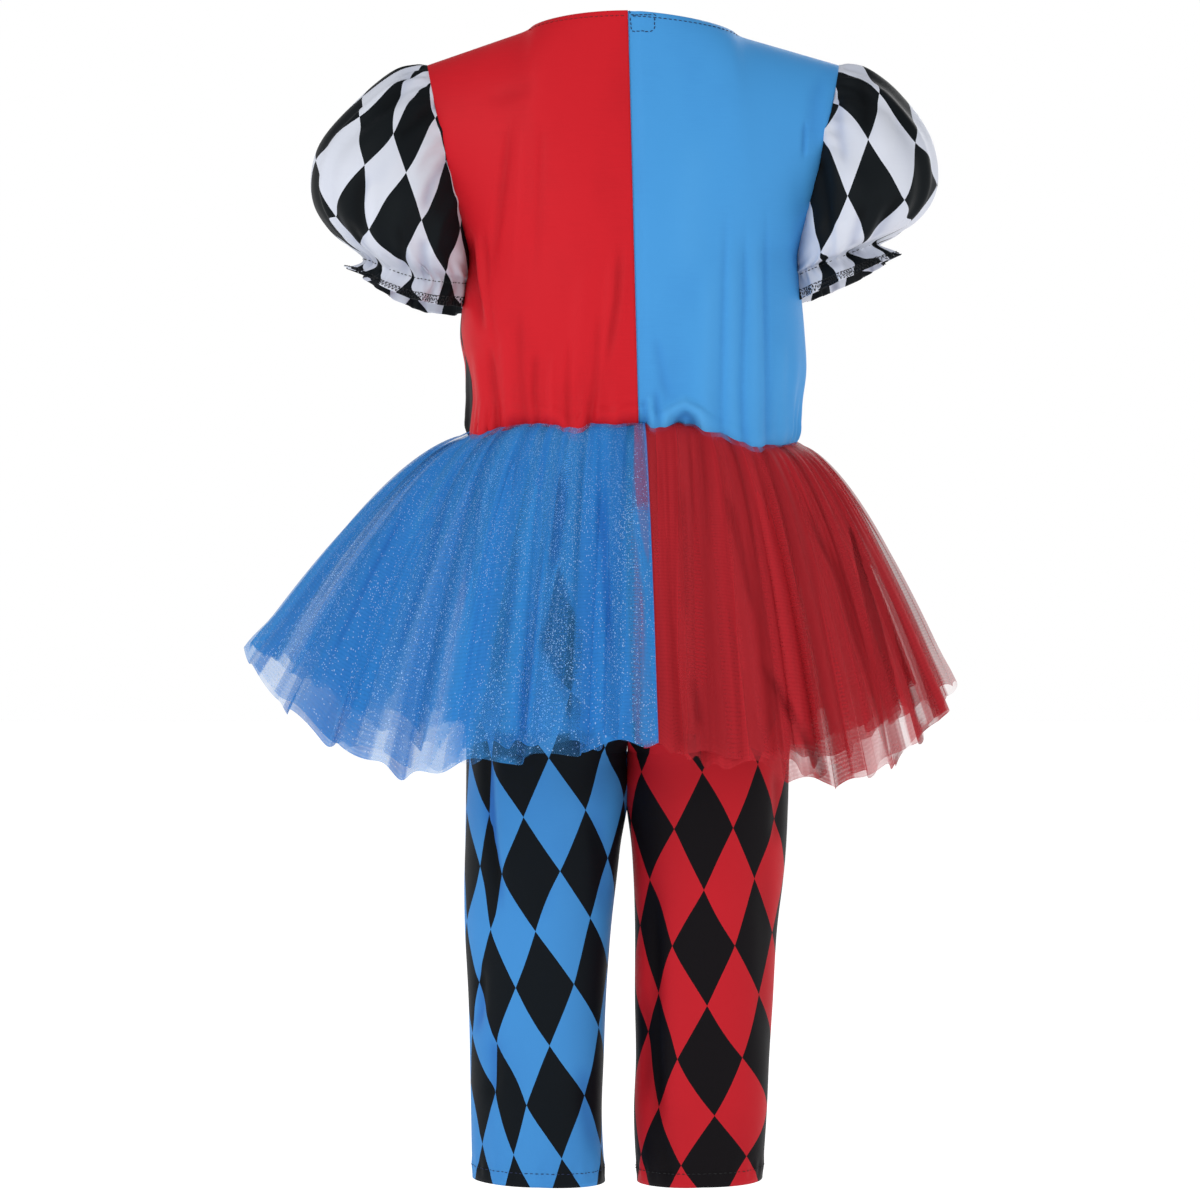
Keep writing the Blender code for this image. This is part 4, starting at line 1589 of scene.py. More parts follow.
@dataclass(frozen=True)
class Sleeve:
    """One puffed sleeve with its frilled cuff, the elastic's stitches and the overlocked edge."""

    side: Side
    materials: Materials
    columns: int = 176
    rows: int = 84
    armhole_share: float = 0.96
    cuff_ring: float = 0.14
    tuck: float = 5 * MM
    tuck_depth: float = 1.6 * MM
    girth: float = 0.300
    length: float = 0.150
    cut_area: float = 0.038
    print_ease: float = 1.2
    print_reach: float = 0.045
    puff_folds: Gathers = Gathers(11)
    cuff_gathers: Gathers = Gathers(27, 1.5 * MM, 1.6, 1)
    frill_waves: Gathers = Gathers(14, 3.0 * MM, 1.4, 2)
    head_gathers: Gathers = Gathers(31, 1.0 * MM, 1.8, 3)
    seeds: ClassVar[dict[Side, int]] = {Side.LEFT: 11, Side.RIGHT: 23}
    pins: ClassVar[dict[Side, dict[Spot, Spot]]] = {
        Side.LEFT: {
            (1, -1): (424, 66), (0, 0): (364, 96), (2, 0): (409, 77), (1, 1): (360, 117),
            (2, 2): (365, 165), (3, 1): (393, 135), (4, 0): (431, 83), (4, 2): (406, 173),
            (5, 1): (435, 118), (0, 2): (316, 160), (1, 3): (336, 217), (3, 3): (369, 230),
            (6, 2): (448, 161), (5, 3): (422, 220), (2, 4): (364, 248),
            (4, 4): (409, 268), (7, 3): (460, 228), (6, 4): (446, 272), (3.75, 4.25): (399, 290),
            (3.5, 4.5): (393, 301), (4.2, 4.2): (412, 290), (4.5, 4.5): (421, 303), (5.8, 4.2): (441, 290),
            (5.5, 4.5): (437, 304), (6.2, 4.2): (452, 284), (6.4, 4.4): (458, 300),
        },
        Side.RIGHT: {
            (1, -1): (838, 105), (0, 0): (820, 139), (1, 1): (848, 196), (2, 0): (868, 140),
            (3, -1): (879, 94), (3, 1): (905, 200), (4, 0): (915, 143), (0, 2): (821, 252),
            (2, 2): (861, 243),
            (5, 1): (936, 185), (-1, 1): (796, 192), (0.2, 2.2): (829, 266), (0.4, 2.4): (837, 276),
            (1.8, 2.2): (854, 262), (1.6, 2.4): (854, 276), (-0.25, 2.25): (820, 268),
            (-0.5, 2.5): (820, 288), (2.25, 2.25): (865, 258), (2.5, 2.5): (878, 266),
            (3.7, 2.3): (874, 246), (3.4, 2.6): (886, 260),
        },
    }
    creases: ClassVar[dict[Side, tuple[Crease, ...]]] = {
        Side.LEFT: (
            drawn(4, -1.4, (420, 62), (400, 90), (372, 120)),
            drawn(3, -1.4, (438, 105), (420, 120), (395, 138), fade_in=0),
            drawn(3, 1.3, (443, 130), (425, 150), (408, 180), fade_in=0),
            drawn(3, -1.5, (448, 160), (432, 185), (424, 215), fade_in=0),
            drawn(3, 1.5, (456, 200), (440, 225), (432, 262), fade_in=0),
            drawn(4, -2.0, (366, 165), (357, 205), (366, 245)),
            drawn(4, 1.4, (376, 175), (372, 215), (384, 262), fade_out=0),
            drawn(3, -1.6, (345, 215), (356, 238), (374, 262), fade_out=0),
            drawn(3, -1.6, (398, 220), (402, 245), (405, 270), fade_out=0),
            drawn(3, -1.6, (425, 235), (424, 255), (424, 276), fade_out=0),
        ),
        Side.RIGHT: (
            drawn(4, -1.6, (860, 72), (866, 100), (868, 138)),
            drawn(5, 1.4, (880, 84), (884, 120), (880, 160)),
            drawn(3, -1.4, (836, 95), (838, 130), (846, 170), fade_in=0),
            drawn(3, 1.4, (826, 130), (834, 165), (840, 200), fade_in=0),
            drawn(3, -1.6, (820, 165), (826, 200), (830, 240), fade_in=0),
            drawn(3, -1.6, (866, 200), (858, 225), (852, 250), fade_out=0),
            drawn(3, 1.4, (884, 195), (872, 222), (864, 245), fade_out=0),
            drawn(3, -1.6, (905, 190), (888, 215), (874, 240), fade_out=0),
            drawn(3, 1.4, (838, 215), (838, 235), (838, 255), fade_out=0),
        ),
    }

    def turn(self, across: Array) -> Array:
        """The angle round the sleeve: 0 on top, rising over the back, with the seam under the arm."""
        return 2 * np.pi * (across - 0.5) * -self.side.value

    def shape(self, across: Array, up: Array) -> Array:
        """The sleeve from the frill's edge up to the armhole, and a tuck inside the bodice.

        Args:
            across: 0 and 1 at the underarm seam.
            up: 0 at the frill's edge and 1 inside the armhole.

        Returns:
            Its points.
        """
        ring = np.minimum(up / self.armhole_share, 1.0)
        inside = np.clip((up - self.armhole_share) / (1 - self.armhole_share), 0, 1)
        row, sign, turn = SLEEVES[self.side](ring), self.side.value, self.turn(across)
        cosine, sine = np.cos(turn), np.sin(turn)
        out = stacked(sign * row.out_x, 0.0, row.out_z)
        near = stacked(sign * row.in_x, 0.0, row.in_z)
        half = (out - near) / 2
        spread = unit(half) * cosine[..., None] + stacked(0.0, -sine, 0.0)
        points = (out + near) / 2 + half * cosine[..., None]
        points[..., 1] -= row.half_depth * sine
        points[..., 2] -= row.sag * sine**2
        points = points + spread * self.folds(ring, turn, row.fold)[..., None]
        inward = spread * (-self.tuck_depth * smooth_step(inside * 2))[..., None]
        return points + inward - stacked(sign, 0.0, 0.0) * (self.tuck * inside)[..., None]

    def folds(self, ring: Array, turn: Array, puff: Array) -> Array:
        """How high the gathers and the frill's waves stand.

        Args:
            ring: places along the sleeve, 0 at the frill's edge and 1 at the armhole.
            turn: angles round it.
            puff: the height of the puff's own folds.

        Returns:
            The lift of each place, less under the arm.
        """
        seed = self.seeds[self.side]
        near_cuff = np.exp(-(((ring - self.cuff_ring) / 0.10) ** 2))
        frill = smooth_step((self.cuff_ring - ring) / self.cuff_ring)
        head = smooth_step((ring - 0.80) / 0.16) * (1 - smooth_step((ring - 0.97) / 0.03))
        folds = puff * self.puff_folds.lift(turn, seed)
        folds = folds + near_cuff * self.cuff_gathers.lift(turn, seed)
        folds = folds + frill * self.frill_waves.lift(turn, seed)
        folds = folds + head * self.head_gathers.lift(turn, seed)
        return folds * mixed(0.35, 1.0, (1 + np.cos(turn)) / 2)

    def make(self) -> None:
        """Builds and dresses the sleeve."""
        name = f"sleeve_{self.side.name.lower()}"
        grid = ClothGrid.of_shape(self.shape, self.columns, self.rows)
        around = np.abs(self.turn(grid.across)) / (2 * np.pi) * self.girth * self.print_ease
        printed = PinnedPrint(self.pins[self.side], SLEEVE_DIAMOND, self.print_reach)
        grid.cloth = printed.laid(np.stack([around, grid.up * self.length], axis=1), grid)
        grid.crease(self.creases[self.side])
        piece = grid.make(name + "_cloth", SATIN_WALL, self.materials.cloth["white_black_print"])
        cut = (self.girth, self.length)
        dressed(piece, "white_black_print", name, cut, Held.GATHERED, self.cut_area)
        self.sew(name)

    def sew(self, name: str) -> None:
        """Sews the elastic's line and the zigzag of the overlocked edge.

        Args:
            name: the sleeve's name.
        """
        elastic, overlock = Stitches(2.0 * MM, 0.7 * MM, 0.30 * MM), Stitches(2.4 * MM, 0.1 * MM, 0.30 * MM)
        around = np.linspace(0, 1, 400)
        elastic.over(self.shape, around, np.full_like(around, self.cuff_ring * 0.96))
        teeth = np.arange(230)
        zigzag = np.where(teeth % 2 == 0, 0.002, 0.044)
        overlock.over(self.shape, teeth / teeth[-1], zigzag)
        around = np.linspace(0, 1, 500)
        overlock.over(self.shape, around, np.full_like(around, 0.046))
        for kind, stitches in (("elastic", elastic), ("overlock", overlock)):
            piece = stitches.make(f"{name}_{kind}_stitches", self.materials.thread["black_thread"])
            dressed(piece, "white_black_print")


TROUSER_COLUMNS = "z outer axis back_depth front_depth power"
TROUSERS = {
    Side.LEFT: Profile(
        TROUSER_COLUMNS,
        (-0.675, 0.0942, 0.0550, 0.0385, 0.0385, 2.0),
        (-0.636, 0.0948, 0.0562, 0.0390, 0.0390, 2.0),
        (-0.606, 0.0954, 0.0560, 0.0395, 0.0395, 2.0),
        (-0.571, 0.0963, 0.0558, 0.0402, 0.0402, 2.0),
        (-0.524, 0.0986, 0.0552, 0.0430, 0.0425, 2.0),
        (-0.500, 0.0992, 0.0543, 0.0455, 0.0440, 2.0),
        (-0.477, 0.0989, 0.0530, 0.0480, 0.0460, 2.0),
        (-0.455, 0.0986, 0.0514, 0.0515, 0.0485, 2.0),
        (-0.424, 0.0984, 0.05103, 0.0560, 0.0520, 2.0),
        (-0.400, 0.0988, 0.0370, 0.0630, 0.0580, 2.1),
        (-0.370, 0.0990, 0.0190, 0.0690, 0.0650, 2.2),
        (-0.330, 0.0988, 0.0050, 0.0710, 0.0700, 2.3),
        (-0.290, 0.0978, 0.0000, 0.0705, 0.0710, 2.3),
        (-0.244, 0.0950, 0.0000, 0.0680, 0.0700, 2.3),
    ),
    Side.RIGHT: Profile(
        TROUSER_COLUMNS,
        (-0.675, 0.0770, 0.0400, 0.0385, 0.0385, 2.0),
        (-0.636, 0.0796, 0.0404, 0.0390, 0.0390, 2.0),
        (-0.606, 0.0809, 0.0416, 0.0395, 0.0395, 2.0),
        (-0.571, 0.0832, 0.0425, 0.0402, 0.0402, 2.0),
        (-0.524, 0.0860, 0.0438, 0.0430, 0.0425, 2.0),
        (-0.500, 0.0886, 0.0445, 0.0455, 0.0440, 2.0),
        (-0.477, 0.0904, 0.0446, 0.0480, 0.0460, 2.0),
        (-0.455, 0.0914, 0.0442, 0.0515, 0.0485, 2.0),
        (-0.424, 0.0924, 0.04455, 0.0560, 0.0520, 2.0),
        (-0.400, 0.0950, 0.0330, 0.0630, 0.0580, 2.1),
        (-0.370, 0.0970, 0.0170, 0.0690, 0.0650, 2.2),
        (-0.330, 0.0980, 0.0045, 0.0710, 0.0700, 2.3),
        (-0.290, 0.0975, 0.0000, 0.0705, 0.0710, 2.3),
        (-0.244, 0.0950, 0.0000, 0.0680, 0.0700, 2.3),
    ),
}


@dataclass(frozen=True)
class TrouserLeg:
    """One leg of the trousers with its half of the hips, its print and its stitched hem."""

    side: Side
    materials: Materials
    columns: int = 112
    rows: int = 190
    leg_share: float = 0.6
    seam_share: float = 0.96
    seam_allowance: float = 12 * MM
    hem_tilt: float = 2.2 * MM
    hem_height: float = 8 * MM
    hem_ripple: float = 0.5 * MM
    hem_ripples: int = 26
    sway: float = 0.5 * MM
    press: float = 0.9 * MM
    crotch_press: float = 3.6 * MM
    crotch_press_below: float = 14 * MM
    crotch_press_reach: float = 11 * MM
    tuck_depth: float = 4.5 * MM
    girth: float = 0.33
    length: float = 0.44
    cut_area: float = 0.126
    print_reach: float = 0.030
    swallowed: float = 6.5 * MM
    swallowed_end: float = 940.0
    seeds: ClassVar[dict[Side, int]] = {Side.LEFT: 31, Side.RIGHT: 37}
    tuck_line: ClassVar[tuple[Spot, ...]] = (
        (484, 640), (486, 745), (488, 800), (491, 835), (495, 880), (497, 940),
    )
    pins: ClassVar[dict[Side, dict[Spot, Spot]]] = {
        Side.LEFT: {
            (0, 0): (549, 759), (1, 1): (585.5, 810.5), (-1, 1): (523.75, 816), (0, 2): (560.5, 872),
            (-1, 3): (535.5, 931), (1, 3): (590, 918), (-2, 2): (501, 875), (0, 4): (573.75, 985),
            (-2, 4): (515.75, 988), (-1, 5): (549, 1046), (1, 5): (598.5, 1027.5), (-3, 5): (496, 1044),
            (-2, 6): (525.5, 1105.5), (0, 6): (585.5, 1096), (-3, 7): (513.75, 1155), (-1, 7): (562, 1158),
            (-4, 6): (494.5, 1092.5), (-3, 3): (490.5, 929), (-4, 2): (480, 866), (-2, 0): (490, 760),
            (1, -1): (571, 692), (2, 0): (605, 748),
        },
        Side.RIGHT: {
            (-2, 0): (641.75, 772), (0, 0): (702.5, 772.5), (2, 0): (758.5, 764.5), (-1, 1): (675, 829.5),
            (1, 1): (733.25, 828), (3, 1): (776.75, 819), (0, 2): (704, 890), (2, 2): (754, 878.75),
            (-1, 3): (674, 946), (1, 3): (734.5, 944.5), (-2, 2): (649.5, 880), (-2, 4): (656, 993.75),
            (0, 4): (707.5, 1005.75), (2, 4): (760, 994.5), (-1, 5): (678, 1058.75), (1, 5): (742, 1057.5),
            (0, 6): (714.25, 1115.75), (2, 6): (767.5, 1107.5), (-1, 7): (680.75, 1165.5),
            (1, 7): (746.75, 1156), (-3, 3): (640.5, 926), (-3, 5): (646, 1032), (-2, 6): (657, 1107.5),
        },
    }
    creases: ClassVar[dict[Side, tuple[Crease, ...]]] = {
        Side.LEFT: (
            drawn(3.2, -2.6, (487, 700), (488, 770), (492, 840), (499, 890), (500, 925)),
            drawn(6, 1.0, (500, 720), (503, 800), (512, 900)),
            drawn(3, -1.8, (482, 960), (481, 1005), (474, 1040)),
            drawn(3.5, -1.6, (493, 1030), (495, 1070), (490, 1110)),
            drawn(5, -1.2, (592, 800), (602, 860), (606, 930)),
            drawn(14, 1.0, (540, 900), (552, 1000), (560, 1090)),
            drawn(5, -1.2, (585, 1060), (588, 1110), (598, 1160)),
        ),
        Side.RIGHT: (
            drawn(4.5, -2.6, (652, 860), (655, 940), (656, 1010), (657, 1110), (655, 1160)),
            drawn(3, -1.6, (643, 980), (646, 1040), (644, 1110)),
            drawn(8, 1.2, (668, 900), (668, 1000), (670, 1120)),
            drawn(6, -1.2, (765, 850), (766, 950), (764, 1080)),
            drawn(3, -1.6, (776, 760), (778, 800), (775, 850)),
            drawn(14, 1.0, (720, 800), (722, 950), (732, 1120)),
            drawn(4, -1.2, (655, 1130), (665, 1155), (672, 1188)),
        ),
    }

    def level(self, up: Array) -> Array:
        """The height of a place up the leg, with closer rows above the crotch.

        Args:
            up: 0 at the hem and 1 at the waist.

        Returns:
            The height.
        """
        low = mixed(HEM_Z, CROTCH_Z, np.minimum(up / self.leg_share, 1))
        turn = np.pi / 2 * np.clip((up - self.leg_share) / (self.seam_share - self.leg_share), 0, 1)
        return np.where(up <= self.leg_share, low, mixed(CROTCH_Z, WAIST_Z, 1 - np.cos(turn)))

    def angle(self, across: Array, level: Array) -> Array:
        """The angle round the leg's own axis, or round the hips above the crotch.

        Args:
            across: 0 and 1 at the inside seam.
            level: the height.

        Returns:
            The angle, in degrees from the back.
        """
        row, sign = TROUSERS[self.side](level), self.side.value
        axis = sign * row.axis
        fall = smooth_step((level - WAIST_Z) / (CROTCH_Z - WAIST_Z))
        centre_x = CROTCH_X * fall + sign * SEAM_GAP / 2
        reach = np.minimum(sign * (axis - centre_x) / np.abs(row.outer - row.axis), 1.0)
        reach = np.where(level <= CROTCH_Z + WELD, 1.0, reach)
        past = np.degrees(np.arcsin(signed_power(reach, row.power / 2)))
        start = -past if self.side is Side.RIGHT else -180 - past
        return start + (180 + 2 * past) * across

    def shape(self, across: Array, up: Array) -> Array:
        """The leg and its half of the hips.

        Args:
            across: 0 and 1 at the inside seam.
            up: 0 at the hem and 1 at the waist.

        Returns:
            Its points.
        """
        level = self.level(up)
        row, sign = TROUSERS[self.side](level), self.side.value
        angle = self.angle(across, level)
        radius = np.abs(row.outer - row.axis)
        x, y = oval(sign * row.axis, radius, row.back_depth, row.front_depth, row.power, angle)
        at_waist = smooth_step((level - WAIST_Z + 0.05) / 0.05)
        z = level + (WAIST_LINE(angle).z - SEAM_DROP - WAIST_Z) * at_waist
        turn = np.radians(angle)
        inside = np.maximum(-sign * np.sin(turn), 0.0)
        z = z - self.hem_tilt * inside * smooth_step((HEM_Z + 0.05 - level) / 0.05)
        tucked = np.clip((up - self.seam_share) / (1 - self.seam_share), 0, 1)
        out = self.folds(level, turn, inside) - self.tuck_depth * smooth_step(tucked * 2)
        return stacked(x + np.sin(turn) * out, y - np.cos(turn) * out, z + self.seam_allowance * tucked)

    def folds(self, level: Array, turn: Array, inside: Array) -> Array:
        """How far the cloth sways, ripples at the hem and is pressed towards the other leg.

        Args:
            level: heights.
            turn: angles round the leg.
            inside: how far each place faces the other leg, from 0 to 1.

        Returns:
            How far each place stands out.
        """
        free = smooth_step((CROTCH_Z - 0.03 - level) / 0.08)
        drift = np.sin((HEM_Z - level) / 0.075 + self.seeds[self.side])
        wave = np.cos(3 * turn + 2.2 * drift) + 0.6 * np.cos(5 * turn - 1.7 * drift)
        at_hem = np.exp(-(((level - HEM_Z - self.hem_height) / (4 * MM)) ** 2))
        at_crotch = np.exp(-(((level - CROTCH_Z + self.crotch_press_below) / self.crotch_press_reach) ** 2))
        pressed = self.press * smooth_step((level - CROTCH_Z + 0.06) / 0.03) + self.crotch_press * at_crotch
        pressed = pressed * inside**4 * (level < CROTCH_Z)
        return free * self.sway * wave + self.hem_ripple * at_hem * np.cos(self.hem_ripples * turn) + pressed

    def cloth_places(self, grid: ClothGrid) -> Array:
        """The cloth's points measured round from the outside seam and up, in metres.

        Args:
            grid: the leg.

        Returns:
            How far round and how high each point is, less the cloth that the fold swallows.
        """
        level = self.level(grid.up)
        row = TROUSERS[self.side](level)
        radius = (np.abs(row.outer - row.axis) + row.back_depth) / 2
        turn = np.radians(self.angle(grid.across, level) - 90 * self.side.value)
        around = turn * radius
        if self.side is Side.LEFT:
            spots = grid.spots
            fold_x = np.interp(spots[:, 1], *np.array(self.tuck_line).T[::-1])
            fade = smooth_step((self.swallowed_end - spots[:, 1]) / 60)
            past = np.where(turn < 0, 1, smooth_step((fold_x - spots[:, 0]) / 4 + 0.5))
            around = around - self.swallowed * fade * past
        return np.stack([around, level], axis=1)

    def make(self) -> None:
        """Builds and dresses the leg."""
        name, colour = f"trouser_{self.side.name.lower()}", "blue" if self.side is Side.LEFT else "red"
        slot = f"{colour}_black_print"
        grid = ClothGrid.of_shape(self.shape, self.columns, self.rows)
        printed = PinnedPrint(self.pins[self.side], LEG_DIAMOND, self.print_reach)
        grid.cloth = printed.laid(self.cloth_places(grid), grid)
        if self.side is Side.LEFT:
            grid.cloth = grid.cloth + LEG_DIAMOND
        grid.crease(self.creases[self.side])
        piece = grid.make(name + "_cloth", SATIN_WALL, self.materials.cloth[slot])
        dressed(piece, slot, name, (self.girth, self.length), Held.HUNG, self.cut_area)
        hem = Stitches(2.4 * MM, 0.8 * MM, 0.26 * MM)
        across, up = np.linspace(0, 1, 400), self.leg_share * self.hem_height / (CROTCH_Z - HEM_Z)
        hem.over(self.shape, across, np.full_like(across, up))
        thread = "navy_thread" if self.side is Side.LEFT else "black_thread"
        dressed(hem.make(f"{name}_hem_stitches", self.materials.thread[thread]), slot)


# The skirt's hem by the angle round the body: how far it stands out from the waist and hangs below it
SKIRT_HEM = Profile(
    "angle out drop",
    (-180, 0.056, 0.180),
    (-150, 0.064, 0.178),
    (-120, 0.092, 0.160),
    (-90, 0.123, 0.127),
    (-75, 0.121, 0.143),
    (-60, 0.103, 0.172),
    (-45, 0.080, 0.191),
    (-25, 0.054, 0.186),
    (0, 0.046, 0.179),
    (25, 0.052, 0.187),
    (50, 0.068, 0.186),
    (72, 0.080, 0.161),
    (90, 0.087, 0.149),
    (120, 0.076, 0.166),
    (150, 0.062, 0.178),
    (180, 0.056, 0.180),
)


@dataclass(frozen=True)
class Opening:
    """A place where the tulle's plies lie apart, so that fewer of them show: a line on the photograph
    with its half width at the start and at the end."""

    path: tuple[Spot, ...]
    start: float
    end: float
    plies: float
    softness: float = 0.25

    def share(self, spots: Array) -> Array:
        """How far each spot is inside the opening, from 0 to 1.

        Args:
            spots: pixels of the photograph.

        Returns:
            The share of each.
        """
        gap, along = along_path(spots, self.path)
        width = mixed(self.start, self.end, along)
        return smooth_step((1 - gap / np.maximum(width, 0.5)) / self.softness)


@dataclass(frozen=True)
class TulleLayer:
    """One layer of the skirt in one colour."""

    name: str
    node: str
    colour: str
    start: float
    end: float
    out: float
    drop: float
    offset: float
    folds: int
    depth: float
    swing: float
    plies: float
    columns: int
    rows: int
    seed: int
    flat: Spot
    openings: tuple[Opening, ...] = ()
    creases: tuple[Crease, ...] = ()
    thinned: float = 1.0
    seam_share: float = 0.94
    seam_allowance: float = 11 * MM
    seam_inside: float = 3.2 * MM
    top_offset: float = 2.8 * MM
    spread_power: float = 0.93
    fall_power: float = 1.36
    fewest_plies: float = 0.3
    hem_thinning: float = 0.12
    fold_shade_depth: float = 2.5 * MM
    gathers: Gathers = Gathers(84, 0.8 * MM, 2.2, 5)
    fine_gathers: Gathers = Gathers(61, 1.6 * MM, 2.0, 9)
    ragged_tips: Gathers = Gathers(47, 1.8 * MM, 2.4, 13)
    ply_drift: Gathers = Gathers(29, 0.7, 1.8, 21)
    hem_drift: Gathers = Gathers(23, 0.05, draw=7)

    def plain(self, across: Array, up: Array) -> Array:
        """The layer without its folds: it stands out from the waist and then falls to the hem.

        Args:
            across: 0 to 1 counterclockwise from the layer's start.
            up: 0 at the hem and 1 at the waist.

        Returns:
            Its points.
        """
        angle, down = mixed(self.start, self.end, across), 1 - np.minimum(up / self.seam_share, 1)
        tucked = np.clip((up - self.seam_share) / (1 - self.seam_share), 0, 1)
        x, y = body_plan(angle, np.full_like(angle, WAIST_Z))
        hem, turn = SKIRT_HEM(angle), np.radians(angle)
        reach = self.offset + hem.out * self.out * down**self.spread_power
        reach = reach - (self.offset + self.seam_inside) * smooth_step(tucked * 2)
        top = WAIST_LINE(angle).z - SEAM_DROP - (self.top_offset - self.offset) + self.seam_allowance * tucked
        z = top - hem.drop * self.drop * down**self.fall_power
        return stacked(x + np.sin(turn) * reach, y - np.cos(turn) * reach, z)

    def shape(self, across: Array, up: Array) -> Array:
        """The layer with its gathers and folds.

        Args:
            across: 0 to 1 counterclockwise from the layer's start.
            up: 0 at the hem and 1 at the waist.

        Returns:
            Its points.
        """
        angle, down = mixed(self.start, self.end, across), 1 - np.minimum(up / self.seam_share, 1)
        turn = np.radians(angle)
        points, out = self.plain(across, up), normals_of(self.plain, across, up)
        beside = stacked(np.cos(turn), np.sin(turn), 0.0)
        deep = Gathers(self.folds, 1.0, 1.5)
        fold, swing = (deep.lift(place, self.seed) for place in (turn, turn - np.pi / 2 / self.folds))
        lift = self.depth * down**1.05 * fold + self.fine_gathers.lift(turn, self.seed) * down
        lift = lift + self.gathers.lift(turn, self.seed) * np.sin(np.pi * np.clip(down / 0.55, 0, 1))
        points = points + out * lift[..., None]
        points = points + beside * (self.swing * down * swing)[..., None]
        tips = self.depth * 0.5 * fold + self.ragged_tips.lift(turn, self.seed)
        points[..., 2] += smooth_step((down - 0.85) / 0.15) * tips
        return points

    def make(self, materials: Materials) -> None:
        """Builds and dresses the layer.

        Args:
            materials: the finishes.
        """
        grid = ClothGrid.of_shape(self.shape, self.columns, self.rows)
        width, length = self.flat
        grid.cloth = np.stack([grid.across * width, -(1 - grid.up) * length], axis=1)
        grid.values["crease"] = np.zeros(len(grid.up))
        grid.crease(self.creases, self.fold_shade_depth)
        turn = np.radians(mixed(self.start, self.end, grid.across))
        down = 1 - grid.up
        plies = self.plies + self.ply_drift.lift(turn, self.seed) - 0.25 * down
        at_hem = smooth_step((down - 0.88 + self.hem_drift.lift(turn)) / 0.04)
        plies = plies - self.plies * self.hem_thinning * at_hem
        for opening in self.openings:
            plies = mixed(plies, opening.plies * self.thinned, opening.share(grid.spots))
        grid.values["plies"] = np.maximum(plies, self.fewest_plies)
        slot = f"{self.colour}_tulle"
        piece = grid.make(self.name + "_net", 0.0, materials.cloth[slot])
        dressed(piece, slot, self.node, self.flat, Held.GATHERED)


# Where the skirt's plies lie apart and where its folds run, drawn on the photograph
BLUE_OPENINGS = (
    Opening(((559, 572), (562, 640)), 3, 26, 0.42, 0.4),
    Opening(((562, 640), (576, 715)), 26, 9, 0.42, 0.4),
    Opening(((634, 445), (636, 480), (636, 505)), 8, 10, 1.3, 0.5),
    Opening(((498, 746), (592, 746)), 17, 17, 0.45),
    Opening(((398, 497), (345, 560), (264, 668)), 4, 17, 0.95, 0.15),
    Opening(((352, 592), (322, 640), (288, 706)), 4, 13, 0.85, 0.15),
    Opening(((470, 700), (440, 772)), 3, 14, 1.3, 0.2),
    Opening(((330, 700), (345, 745)), 5, 12, 1.2, 0.3),
    Opening(((642, 515), (654, 600), (651, 735)), 12, 13, 3.0, 0.6),
)
RED_OPENINGS = (
    Opening(((850, 528), (874, 620), (900, 748)), 2, 13, 0.42, 0.12),
    Opening(((872, 566), (896, 620), (928, 715)), 2, 13, 0.42, 0.12),
    Opening(((786, 768), (815, 762)), 20, 16, 0.6),
    Opening(((898, 748), (910, 762)), 9, 12, 0.5),
    Opening(((727, 600), (742, 700), (748, 757)), 1, 13, 1.4, 0.3),
)
# The folds' troughs are painted darker in the tulle's colour, as painted shade.
BLUE_FOLDS = (
    drawn(3.5, -1.8, (563, 455), (560, 505), (551, 585)),
    drawn(2.5, -1.2, (482, 470), (476, 530), (452, 640)),
    drawn(2.5, -1.2, (455, 470), (430, 560), (384, 690)),
    drawn(2.5, -1.0, (520, 520), (512, 600), (500, 690)),
    drawn(2.5, -1.2, (600, 470), (604, 560), (612, 680)),
    drawn(2, -1.0, (420, 480), (372, 570), (316, 690)),
)
RED_FOLDS = (
    drawn(2.5, -1.6, (724, 474), (740, 545), (756, 621)),
    drawn(2.5, -1.6, (757, 652), (790, 711), (824, 771), fade_out=0),
    drawn(2.5, -1.4, (690, 668), (696, 700), (702, 735)),
    drawn(2.5, -1.2, (790, 480), (838, 570), (872, 690)),
    drawn(2.5, -1.0, (680, 460), (684, 540), (686, 640)),
)


def skirt_layers() -> tuple[TulleLayer, ...]:
    """The skirt's layers: the outer tulle, its second ply over it, and the shorter inner tulle.

    Returns:
        Each layer in blue on the wearer's left and in red on the right.
    """
    blue = (-180.0, 2.4)
    red = (0.0, 180.0)
    outer = {"out": 1.0, "drop": 1.0, "folds": 21, "columns": 420, "rows": 56, "flat": (0.62, 0.20)}
    inner = {"out": 0.74, "drop": 0.93, "folds": 24, "columns": 300, "rows": 40, "flat": (0.48, 0.18)}
    outer |= {"depth": 5.5 * MM, "swing": 5 * MM, "seed": 41}
    inner |= {"depth": 4.5 * MM, "swing": 4 * MM, "seed": 47, "offset": 1.6 * MM}
    over = outer | {"out": 0.99, "drop": 0.985, "folds": 15, "depth": 5 * MM, "seed": 59}
    return (
        TulleLayer(
            "skirt_blue", "skirt_blue", "blue", *blue, **outer, offset=3.4 * MM, plies=1.9,
            openings=BLUE_OPENINGS, creases=BLUE_FOLDS,
        ),
        TulleLayer(
            "skirt_red", "skirt_red", "red", *red, **outer, offset=2.8 * MM, plies=2.4,
            openings=RED_OPENINGS, creases=RED_FOLDS,
        ),
        TulleLayer(
            "skirt_blue_over", "", "blue", *blue, **over, offset=5.4 * MM, plies=1.0,
            openings=BLUE_OPENINGS, creases=BLUE_FOLDS, thinned=0.6,
        ),
        TulleLayer(
            "skirt_red_over", "", "red", *red, **over, offset=4.8 * MM, plies=1.3,
            openings=RED_OPENINGS, creases=RED_FOLDS, thinned=0.6,
        ),
        TulleLayer(
            "underskirt_blue", "underskirt_blue", "blue", *blue, **inner, plies=1.4,
            openings=BLUE_OPENINGS[:2],
        ),
        TulleLayer("underskirt_red", "underskirt_red", "red", *red, **inner, plies=2.0),
    )


